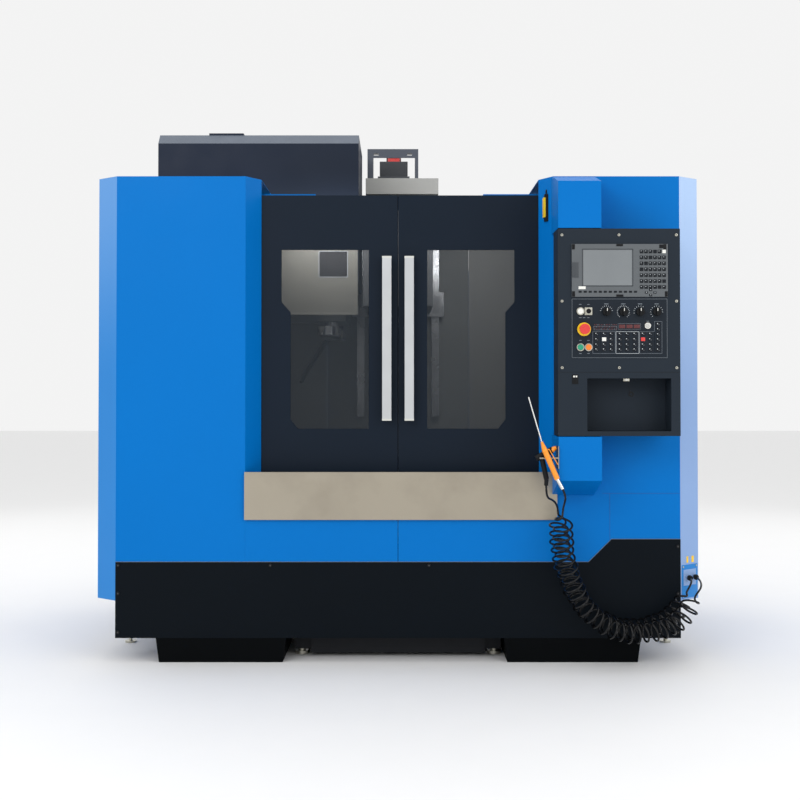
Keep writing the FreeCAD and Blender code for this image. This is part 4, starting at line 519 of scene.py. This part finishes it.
# Routes as in the part's source: millimetres, x, depth from the cabinet fronts, height.
AIR_ROUTE = {
    "wall_lead": [(1316, 27.4, 366), (1318, -10, 364), (1317, -48, 358), (1311, -86, 348),
                  (1296, -120, 334), (1272, -146, 318)],
    "coil": [(1272, -146, 318), (1232, -154, 236), (1150, -158, 178), (1040, -161, 152),
             (926, -164, 166), (826, -169, 226), (756, -174, 328), (716, -178, 440),
             (699, -182, 560), (698, -186, 676)],
    "gun_lead": [(698, -186, 676), (702, -204, 706), (706, -228, 732), (702, -246, 752),
                 (691, -250, 776)],
}
COOLANT_ROUTE = {
    "wall_lead": [(1283, 0.5, 366), (1282, -34, 362), (1270, -58, 344), (1252, -62, 318)],
    "coil": [(1252, -62, 318), (1216, -62, 240), (1140, -63, 182), (1036, -65, 154),
             (924, -69, 168), (822, -74, 228), (752, -79, 330), (712, -84, 442),
             (695, -88, 562), (692, -92, 664)],
    "gun_lead": [(692, -92, 664), (684, -112, 700), (662, -146, 722), (636, -190, 732),
                 (626.5, -211, 757), (625.4, -215, 788)],
}
HOSE_RADIUS = 0.0045
TURN_RADIUS = 0.0415
TURN_PITCH = 0.036
POINTS_PER_TURN = 16
RAMP_TURNS = 1.5
LEAD_STEP = 0.016
LEAN = 0.34


def add_spline(name, points):
    """Curve object of one open NURBS spline through metres of control points."""
    data = bpy.data.curves.new(name, "CURVE")
    data.dimensions = "3D"
    spline = data.splines.new("NURBS")
    spline.points.add(len(points) - 1)
    for point, place in zip(spline.points, points):
        point.co = (*place, 1.0)
    spline.order_u = 3
    spline.use_endpoint_u = True
    curve = bpy.data.objects.new(name, data)
    bpy.context.collection.objects.link(curve)
    return curve


def read_line(points):
    """Points along the NURBS spline of a route."""
    curve = add_spline("route", points)
    curve.data.resolution_u = 24
    bpy.context.view_layer.update()
    mesh = bpy.data.meshes.new_from_object(curve)
    line = [vertex.co.copy() for vertex in mesh.vertices]
    bpy.data.meshes.remove(mesh)
    bpy.data.objects.remove(curve)
    return line


def walk(line):
    """Arc length at each point of a line."""
    lengths = [0.0]
    for before, after in zip(line, line[1:]):
        lengths.append(lengths[-1] + (after - before).length)
    return lengths


def point_at(line, lengths, distance):
    """Point and direction at a distance along a line."""
    distance = min(max(distance, 0.0), lengths[-1])
    index = 1
    while index < len(lengths) - 1 and lengths[index] < distance:
        index += 1
    step = lengths[index] - lengths[index - 1]
    share = (distance - lengths[index - 1]) / step if step else 0.0
    return line[index - 1].lerp(line[index], share), (line[index] - line[index - 1]).normalized()


def ease(share):
    share = min(max(share, 0.0), 1.0)
    return share * share * (3 - 2 * share)


def nearest_length(line, lengths, place):
    """Arc length of the point of a line that is nearest to a place."""
    return min(zip(line, lengths), key=lambda pair: (pair[0] - place).length)[1]


def plain_points(line, lengths, start, end):
    """Evenly spaced points of a plain stretch, without its end."""
    count = max(1, round((end - start) / LEAD_STEP))
    return [point_at(line, lengths, start + (end - start) * step / count)[0] for step in range(count)]


def coil_points(route, phase):
    """Points of the whole hose: plain leads, and turns wound round the middle stretch of its route."""
    wall, coil, gun = (
        [spot(*point) for point in route[part]] for part in ("wall_lead", "coil", "gun_lead"))
    line = read_line(wall + coil[1:] + gun[1:])
    lengths = walk(line)
    start, end = (nearest_length(line, lengths, place) for place in (coil[0], coil[-1]))
    turns = (end - start) / TURN_PITCH
    count = round(turns * POINTS_PER_TURN)
    points = plain_points(line, lengths, 0, start)
    side = Vector((0, 1, 0))
    turned = phase
    for step in range(count + 1):
        turn = turns * step / count
        middle, along = point_at(line, lengths, start + (end - start) * step / count)
        side = (side - along * side.dot(along)).normalized()
        other = along.cross(side)
        grow = ease(turn / RAMP_TURNS) * ease((turns - turn) / RAMP_TURNS)
        wobble = 1 + sum(share * math.sin(rate * turn + start_angle)
                         for share, rate, start_angle in ((0.05, 2.1, phase), (0.03, 5.3, 0)))
        turned += math.tau / POINTS_PER_TURN * grow
        angle = turned + 0.25 * math.sin(1.3 * turn)
        radius = TURN_RADIUS * grow * wobble
        around = side * math.cos(angle) + other * math.sin(angle)
        points.append(middle + (around + along * LEAN * math.cos(angle)) * radius)
    return points + plain_points(line, lengths, end, lengths[-1])[1:] + [line[-1]]


def build_hose(name, route, phase):
    points = coil_points(route, phase)
    piece = add_spline(name + "_curly", points)
    piece.data.bevel_depth = HOSE_RADIUS
    piece.data.bevel_resolution = 2
    piece.data.resolution_u = 2
    piece.data.use_fill_caps = True
    piece.data.materials.append(HOSE)
    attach(piece, "frame")
    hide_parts(name)


# ---------------------------------------------------------------- guard details

FACET_START = Vector((1.240, FRONT_Y, 0))
FACET_END = Vector((1.336, FRONT_Y + 0.078, 0))
FACET_OUT = Vector((0.078, -0.096, 0)).normalized()


def on_facet(x, height, proud=0.0):
    """Point on the right cabinet's slanting outer side."""
    share = (x - FACET_START.x) / (FACET_END.x - FACET_START.x)
    return FACET_START.lerp(FACET_END, share) + Vector((0, 0, height)) + FACET_OUT * proud


def off_facet(place):
    """Distance of a point in front of that side."""
    return (Vector((place.x, place.y, 0)) - FACET_START).dot(FACET_OUT)


def build_guard_details():
    """Bolts, seams, fold lines in painted shade and small fittings of the sheet-metal guard, with a painted
    highlight along the skirt's top edge.
    """
    bolts = Piece("guard_bolts", "frame")
    for x, height in ((-1228, 423), (-560, 423), (136, 423), (-1228, 300), (1228, 506), (1228, 300),
                      (-1228, 130), (1228, 130)):
        start = spot(x, -3, height)
        bolts.rod(start, start + Vector((0, -0.0035, 0)), 0.0075, BLACK, bevel=0.001)
        bolts.rod(start + Vector((0, -0.0036, 0)), start + Vector((0, -0.0038, 0)), 0.0035,
                  HOLLOW_SHADE, bevel=0, sides=6)
    bolts.done()

    # Thin grey line along the skirt's top edge: painted highlight where the edge catches the light.
    edge = Piece("skirt_edge_painted_highlight", "frame")
    line = [(-1240, 438), (836, 438), (937, 538), (1240, 538)]
    for (x1, z1), (x2, z2) in zip(line, line[1:]):
        edge.rod(spot(x1, -2.4, z1), spot(x2, -2.4, z2), 0.0009, GREY_PRINT_AND_HIGHLIGHT, bevel=0, sides=8)
    edge.done()

    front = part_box("magazine_cover")[0].y
    sheet = Piece("changer_front_sheet", "frame")
    sheet.block((-0.72, front - 0.003, 1.568), (-0.195, front + 0.0005, 2.05), SHEET, 0.0006)
    sheet.block((-0.72, front - 0.003, 1.556), (-0.195, front + 0.010, 1.568), SHEET, 0.0006)
    sheet.done()
    hatch = Piece("changer_hatch", "frame")
    low, high = Vector((-0.381, front - 0.0055, 1.741)), Vector((-0.246, front - 0.003, 1.862))
    # Dark hatch face: painted shade.
    hatch.block((low.x, front - 0.0042, low.z), (high.x, front - 0.0025, high.z), HOLLOW_SHADE, 0.0003)
    edge_width = 0.004
    for start, end in (((low.x, low.z - edge_width), (high.x, low.z)),
                       ((low.x, high.z), (high.x, high.z + edge_width)),
                       ((low.x - edge_width, low.z - edge_width), (low.x, high.z + edge_width)),
                       ((high.x, low.z - edge_width), (high.x + edge_width, high.z + edge_width))):
        hatch.block((start[0], low.y, start[1]), (end[0], high.y, end[1]), MARK, 0.0003)
    hatch.done()

    seal = Piece("door_seal", "left_door_leaf")
    leaf_low, leaf_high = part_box("left_door")
    seal.block((leaf_high.x - 0.0004, leaf_low.y + 0.016, leaf_low.z + 0.002),
               (leaf_high.x + 0.0024, leaf_low.y + 0.024, leaf_high.z - 0.002), BLACK, 0.0004)
    seal.done()

    lid = Piece("magazine_lid", "frame")
    lid.block((-0.924, -0.40, 2.4375), (-0.755, -0.06, 2.448), COVER_PAINT, 0.002)
    lid.done()

    strips = Piece("lining_edge_strips", "frame")
    for sign in (-1, 1):
        near, far = sorted((sign * 0.382, sign * 0.406))
        strips.block((near, 0.2435, 0.75), (far, 0.2465, 2.05), LINING, 0.0005)
    strips.done()

    # Darker blue lines: painted shade along the folds of the right cabinet's sheet.
    folds = Piece("right_cabinet_folds", "frame")
    folds.block(spot(898, -0.9, 737.2), spot(1239, 0.5, 738.8), DARK_BLUE, 0)
    folds.block(spot(929.2, -0.9, 539), spot(930.8, 0.5, 737), DARK_BLUE, 0)
    folds.done()

    marks = Piece("facet_marks", "frame")
    for left, right in ((1.272, 1.281), (1.299, 1.311)):
        marks.plate([on_facet(left, 0.430), on_facet(right, 0.430), on_facet(right, 0.458),
                     on_facet(left, 0.458)], FACET_OUT, 0.0008, YELLOW, 0)
    marks.done()
    # The access plate keeps the lighter facet blue: painted highlight.
    access = Piece("facet_access_plate", "frame")
    access.plate([on_facet(1.246, 0.276), on_facet(1.330, 0.276), on_facet(1.330, 0.422),
                  on_facet(1.246, 0.422)], FACET_OUT, 0.0012, LIT_FACET_PAINT, 0.0004)
    for x, height in ((1.253, 0.414), (1.323, 0.414), (1.253, 0.284), (1.323, 0.284)):
        access.rod(on_facet(x, height), on_facet(x, height, 0.003), 0.004, ZINC, sides=16)
    access.done()


def build_door_switch():
    """Black door switch with its yellow band, on the inner edge of the right cabinet."""
    switch = Piece("door_switch", "frame")
    switch.block(spot(650, 30, 1940), spot(677, 70, 2062), BLACK, 0.003)
    switch.block(spot(645, 28, 1958), spot(655, 72, 2046), YELLOW, 0.002)
    switch.block(spot(656, 38, 2064), spot(672, 60, 2082), BLACK, 0.002)
    switch.rod(spot(663, 50, 1915), spot(663, 50, 1940), 0.006, BLACK)
    switch.done()


def build_handle_caps():
    """End caps of the two bar handles."""
    for side, body in (("left", "left_door_leaf"), ("right", "right_door_leaf")):
        low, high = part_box(side + "_handle")
        caps = Piece(side + "_handle_caps", body)
        grow = 0.0006
        for bottom, top in ((low.z - 0.0015, low.z + 0.008), (high.z - 0.008, high.z + 0.0015)):
            caps.block((low.x - grow, low.y - grow, bottom), (high.x + grow, low.y + 0.0186, top),
                       END_CAP, 0.002)
        caps.done()


def build_motor_details():
    """Cooling fins and red cap of the Z servo."""
    low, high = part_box("z_servo")
    middle = (low + high) / 2
    fins = Piece("z_servo_fins", "frame")
    body_low, body_high = low.z + 0.016, high.z - 0.041
    half = 0.0735
    count = 15
    for index in range(count):
        offset = -half + 2 * half * index / (count - 1)
        for sign in (-1, 1):
            face = middle.y + sign * half
            fins.block((middle.x + offset - 0.0016, min(face, face + sign * 0.006), body_low),
                       (middle.x + offset + 0.0016, max(face, face + sign * 0.006), body_high),
                       SERVO_BLACK, 0.0004)
    fins.done()
    cap = Piece("z_servo_red_cap", "frame")
    cap.rod((middle.x, middle.y, high.z - 0.039), (middle.x, middle.y, high.z + 0.0005), 0.0405, RED,
            bevel=0.004, sides=48)
    cap.block((middle.x - 0.032, middle.y - 0.070, high.z - 0.0395),
              (middle.x + 0.032, middle.y - 0.02, high.z - 0.004), RED, 0.004)
    cap.done()


def build_work_lamps():
    """Lamp tubes along the lining's front corners, inside the work space."""
    low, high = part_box("inner_guard")
    for side, sign in (("left", -1), ("right", 1)):
        lamp = Piece(side + "_work_lamp", "frame")
        x = sign * 0.9
        start = Vector((x, low.y + 0.03, 1.35))
        end = Vector((x, low.y + 0.03, 1.95))
        lamp.rod(start, end, 0.016, LAMP, bevel=0.002)
        for foot in (start, end):
            lamp.block(foot - Vector((0.02, 0.026, 0.02)), foot + Vector((0.02, 0.02, 0.02)), BLACK,
                       0.002)
        lamp.done()


def build_cable_guide():
    """Black flexible guide that curves down beside the column."""
    points = [spot(-322, 1150, 1530), spot(-395, 1150, 1440), spot(-455, 1150, 1335),
              spot(-500, 1150, 1275), spot(-516, 1150, 1225)]
    line = read_line(points)
    lengths = walk(line)
    guide = Piece("cable_guide", "frame")
    pitch = 0.012
    count = int(lengths[-1] / pitch)
    for index in range(count):
        start, along = point_at(line, lengths, index * pitch)
        end = start + along * pitch * 0.8
        guide.rod(start, end, 0.0135 if index % 2 else 0.0115, BLACK, bevel=0.001, sides=16)
    guide.block(spot(-350, 1135, 1500), spot(-290, 1165, 1560), BLACK, 0.003)
    guide.block(spot(-336, 1165, 1516), spot(-304, 1252, 1544), BLACK, 0.003)
    guide.done()


# ---------------------------------------------------------------- control panel

PANEL_MIDDLE_X = 933
PANEL_MIDDLE_Z = 1436
PANEL_FACE = -230
PLATE_FACE = PANEL_FACE - 3
DISPLAY_FACE = PANEL_FACE - 7
KNOB_ROW = 85


def on_panel(right, up, proud=0.0, face=PANEL_FACE):
    """Point on the control panel: right of and above its middle, in millimetres, proud of a face."""
    return spot(PANEL_MIDDLE_X + right, face - proud, PANEL_MIDDLE_Z + up)


def tile(piece, right, up, width, height, proud, material, face=PANEL_FACE, bevel=0.0003, sunk=0.3):
    """Small block on the panel, given its middle and its size."""
    low = on_panel(right - width / 2, up - height / 2, proud, face)
    high = on_panel(right + width / 2, up + height / 2, -sunk, face)
    return piece.block(low, high, material, bevel)


def outline(piece, left, low, right, high, line, material, face):
    """Thin printed frame."""
    tile(piece, (left + right) / 2, low, right - left, line, 0.15, material, face, 0)
    tile(piece, (left + right) / 2, high, right - left, line, 0.15, material, face, 0)
    tile(piece, left, (low + high) / 2, line, high - low, 0.15, material, face, 0)
    tile(piece, right, (low + high) / 2, line, high - low, 0.15, material, face, 0)


def build_panel_bolts():
    bolts = Piece("panel_bolts", "control_panel")
    for up, columns in ((411, (-241, 0, 242)), (131, (-241, 242)), (-150, (-241, 0, 242))):
        for right in columns:
            bolts.rod(on_panel(right, up), on_panel(right, up, 3.2), 0.0058, ZINC, bevel=0.001)
            bolts.rod(on_panel(right, up, 3.2), on_panel(right, up, 3.5), 0.0026, HOLLOW_SHADE,
                      bevel=0, sides=6)
    bolts.done()
    seam = Piece("panel_seam", "control_panel")
    tile(seam, 0, -169, 510, 1.4, 0.3, BLACK, bevel=0)
    seam.done()


def build_display_details():
    """Screen glass, soft keys, screw caps, card door and key marks of the display unit."""
    glass = Piece("display_screen_glass", "control_panel")
    tile(glass, -49, 272, 206, 150, -2.2, SCREEN, DISPLAY_FACE, 0.0005)
    outline(glass, -155, 194, 57, 350, 5, SCREEN_EDGE, DISPLAY_FACE)
    glass.done()

    trim = Piece("display_trim", "control_panel")
    for right, up in ((-193, 360), (193, 360), (-193, 161), (198, 161)):
        tile(trim, right, up, 12, 22, 1.4, BLACK, DISPLAY_FACE)
    for right, up, width in ((2, 367, 28), (2, 154, 30)):
        tile(trim, right, up, width, 9, 1.4, BLACK, DISPLAY_FACE)
    tile(trim, 182, 362, 26, 15, 1.6, BLACK, DISPLAY_FACE)
    tile(trim, -185, 262, 27, 64, 1.8, SCREEN_EDGE, DISPLAY_FACE, 0.001)
    for index in range(12):
        tile(trim, -165 + index * 21.2, 170, 13, 8, 1.2, KEY, DISPLAY_FACE)
    tile(trim, -157, 187, 30, 12, 0.8, WHITE, DISPLAY_FACE, 0.0008)
    trim.done()

    keys = Piece("display_keys", "control_panel")
    columns = [94 + 19 * index for index in range(6)]
    rows = [340 - 25 * index for index in range(7)]
    for row, up in enumerate(rows):
        for column, right in enumerate(columns):
            white = row == 0 and column == 5
            tile(keys, right, up, 14.4, 14.4, 2.4, WHITE if white else KEY, DISPLAY_FACE, 0.0008)
            if not white and (row + column) % 7 != 3:
                tile(keys, right - 2, up + 2.2, 4, 2, 2.6, MARK, DISPLAY_FACE, 0)
    for right, up in ((132, 178), (114, 167), (150, 167), (132, 156)):
        tile(keys, right, up, 12, 9, 1.8, KEY, DISPLAY_FACE, 0.0008)
        tile(keys, right, up + 1, 3, 3, 2.0, MARK, DISPLAY_FACE, 0)
    keys.done()


def dial_scale(piece, right, up, radius, start, end, count, big):
    """Printed scale round a knob; angles are clockwise from the top, in degrees."""
    for index in range(count):
        angle = math.radians(start + (end - start) * index / (count - 1))
        place_x = right + radius * math.sin(angle)
        place_z = up + radius * math.cos(angle)
        low = on_panel(place_x - 0.9, place_z - big / 2, 0.2, PLATE_FACE)
        high = on_panel(place_x + 0.9, place_z + big / 2, -0.3, PLATE_FACE)
        piece.block(low, high, MARK, 0, Matrix.Rotation(angle, 4, "Y"))


def build_operator_details():
    """Printing, lamps, keys and the connector of the operator's plate."""
    print_work = Piece("operator_print", "control_panel")
    outline(print_work, -199, -108, 202, 140, 1.2, GREY_PRINT_AND_HIGHLIGHT, PLATE_FACE)
    for right, start, end, count in ((-54, -75, 75, 9), (17.5, -140, 140, 19), (88, -100, 30, 7),
                                     (158, -135, 90, 11)):
        dial_scale(print_work, right, KNOB_ROW, 25.5, start, end, count, 4.2)
        tile(print_work, right, 119, 18, 3, 0.2, GREY_PRINT_AND_HIGHLIGHT, PLATE_FACE, 0)
    for right, up in ((-164, 117), (-130, 117), (-164, 61), (-148, 61), (-130, 61), (-164, -35),
                      (-130, -35), (-164, -90), (-130, -90), (120, 46)):
        tile(print_work, right, up, 10, 2.2, 0.2, GREY_PRINT_AND_HIGHLIGHT, PLATE_FACE, 0)
    outline(print_work, -112, -90, -80, 2, 1, GREY_PRINT_AND_HIGHLIGHT, PLATE_FACE)
    outline(print_work, -80, -90, -17, 2, 1, GREY_PRINT_AND_HIGHLIGHT, PLATE_FACE)
    outline(print_work, -14, -90, 83, 2, 1.4, MARK, PLATE_FACE)
    outline(print_work, 86, -90, 148, 2, 1, GREY_PRINT_AND_HIGHLIGHT, PLATE_FACE)
    outline(print_work, 148, -90, 180, 45, 1, GREY_PRINT_AND_HIGHLIGHT, PLATE_FACE)
    outline(print_work, -108, 9, -12, 25, 0.8, GREY_PRINT_AND_HIGHLIGHT, PLATE_FACE)
    outline(print_work, -5, 12, 90, 36, 0.8, GREY_PRINT_AND_HIGHLIGHT, PLATE_FACE)
    print_work.done()

    lamps = Piece("operator_lamps", "control_panel")
    for row in range(3):
        for column in range(14):
            right, up = -104 + column * 7, 13 + row * 9
            lamp = LED_OFF if (row * 5 + column * 3) % 4 else GREY_PRINT_AND_HIGHLIGHT
            lamps.rod(on_panel(right, up, -0.3, PLATE_FACE), on_panel(right, up, 0.8, PLATE_FACE),
                      0.0016, lamp, bevel=0.0003, sides=12)
    for column in range(3):
        tile(lamps, 12 + column * 31, 24, 26, 15, 0.8, DARK_RED, PLATE_FACE)
    lamps.done()

    keys = Piece("operator_keys", "control_panel")
    places = [(right, up) for right in (-96, -64, -34, 3, 33, 65, 100, 131) for up in (-7, -30, -52, -73)]
    places += [(164, 34 - 21.5 * index) for index in range(6)]
    for right, up in places:
        cap = {(-64, -30): WHITE, (100, -30): RED}.get((right, up), KEY)
        tile(keys, right, up, 17.5, 15.5, 1.6, cap, PLATE_FACE, 0.0009)
        if cap is KEY:
            keys.rod(on_panel(right - 3, up + 2, 1.5, PLATE_FACE),
                     on_panel(right - 3, up + 2, 1.9, PLATE_FACE),
                     0.0022, MARK, bevel=0, sides=10)
            tile(keys, right + 3, up - 3, 5, 1.4, 1.8, GREY_PRINT_AND_HIGHLIGHT, PLATE_FACE, 0)
    keys.done()

    socket = Piece("round_connector", "control_panel")
    socket.block(on_panel(-146, 72, 2.4, PLATE_FACE), on_panel(-114, 104, -0.3, PLATE_FACE), ZINC, 0.003)
    socket.ring(on_panel(-130, 88, 2, PLATE_FACE), on_panel(-130, 88, 10, PLATE_FACE), 0.0105, 0.0145, ZINC)
    socket.rod(on_panel(-130, 88, 0, PLATE_FACE), on_panel(-130, 88, 6, PLATE_FACE), 0.0106, BLACK)
    socket.done()

    stop = Piece("stop_ring", "control_panel")
    stop.ring(on_panel(-149, 12, 3.9, PLATE_FACE), on_panel(-149, 12, 5.2, PLATE_FACE), 0.0125, 0.0285,
              YELLOW, bevel=0.0005)
    stop.done()


def build_rims():
    """Bright rims round the three buttons and the key switch, and the pointers of the knobs."""
    rims = Piece("button_rims", "control_panel")
    for right, up in ((-164, 88), (-164, -64), (-130, -64)):
        rims.ring(on_panel(right, up, 4.8, PLATE_FACE), on_panel(right, up, 6.4, PLATE_FACE), 0.0126,
                  0.0162, ZINC)
    rims.ring(on_panel(120, 27, 2.8, PLATE_FACE), on_panel(120, 27, 4.2, PLATE_FACE), 0.0092, 0.0128,
              WHITE)
    rims.done()
    for name, right in (("mode", -54), ("feed", 17.5), ("rapid", 88), ("spindle", 158)):
        pointer = Piece(name + "_pointer", name + "_dial")
        low = on_panel(right - 1.4, KNOB_ROW + 3, 25.7, PLATE_FACE)
        high = on_panel(right + 1.4, KNOB_ROW + 15.4, 25.0, PLATE_FACE)
        pointer.block(low, high, WHITE, 0.0002)
        pointer.done()


def build_pocket_details():
    """Twin sockets beside the pocket and the small latch at its upper edge."""
    ports = Piece("data_ports", "control_panel")
    tile(ports, -186, -199, 26, 40, 1.6, BLACK, bevel=0.001)
    for right in (-191, -181):
        tile(ports, right, -187, 7, 7, 2.2, WHITE, bevel=0.0006)
    ports.done()
    latch = Piece("pocket_latch", "control_panel")
    latch.block(on_panel(18, -207, -6), on_panel(44, -195.5, -18), ZINC, 0.001)
    latch.rod(on_panel(31, -201, -2), on_panel(31, -201, -7), 0.0045, CHROME)
    latch.done()
    fob = Piece("key_fob", "control_panel")
    fob.rod(on_panel(33, -204, -5), on_panel(45, -246, -8), 0.0007, BLACK, bevel=0, sides=8)
    fob.ring(on_panel(51, -262, -10), on_panel(51, -262, -5), 0.006, 0.011, BLACK)
    fob.rod(on_panel(44, -250, -8), on_panel(50, -256, -8), 0.004, BLACK)
    fob.done()


# Heights between which the air gun's body is coloured, and where other second colours start.
NOZZLE_HEIGHT = 0.977
GRIP_HEIGHT = 0.817
SEAT_HEIGHT = 2.241
FITTINGS_START = 1.2
FLANGE_DEPTH = 0.0065
TIP_START = 0.648
# Depth of the magazine cover's front slope that takes the painted highlight.
LIT_SLOPE_DEPTH = 0.05


def main():
    paint_nodes()
    # Painted highlight on the left cabinet's slanting facets.
    paint_faces("left_cabinet", LIT_FACET_PAINT, lambda centre, normal: normal.x < -0.4 and normal.y < -0.4)
    paint_faces("right_cabinet", GLARE_PAINT,
                lambda centre, normal: normal.x > 0.4 and normal.y < -0.4 and centre.x > 1.23)
    paint_faces("column", SEAT_PAINT, lambda centre, normal: centre.z > SEAT_HEIGHT)
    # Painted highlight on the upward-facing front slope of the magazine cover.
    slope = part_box("magazine_cover")
    paint_faces("magazine_cover", LIT_SLOPE_PAINT,
                lambda centre, normal: normal.z > 0.3 and centre.y < slope[0].y + LIT_SLOPE_DEPTH)
    paint_faces("air_gun", CHROME,
                lambda centre, normal: centre.z > NOZZLE_HEIGHT or centre.z < GRIP_HEIGHT)
    paint_faces("coolant_gun", GUN_ORANGE, lambda centre, normal: centre.x > TIP_START)
    paint_faces("gun_holder_and_fittings", BLACK, lambda centre, normal: centre.x > FITTINGS_START)
    paint_faces("gun_holder_and_fittings", GLARE_PAINT,
                lambda centre, normal: centre.x > FITTINGS_START and off_facet(centre) < FLANGE_DEPTH)
    build_camera()
    build_stage()
    build_hose("air_hose", AIR_ROUTE, 0.4)
    build_hose("coolant_hose", COOLANT_ROUTE, 2.0)
    build_guard_details()
    build_door_switch()
    build_handle_caps()
    build_motor_details()
    build_work_lamps()
    build_cable_guide()
    build_panel_bolts()
    build_display_details()
    build_operator_details()
    build_rims()
    build_pocket_details()


main()
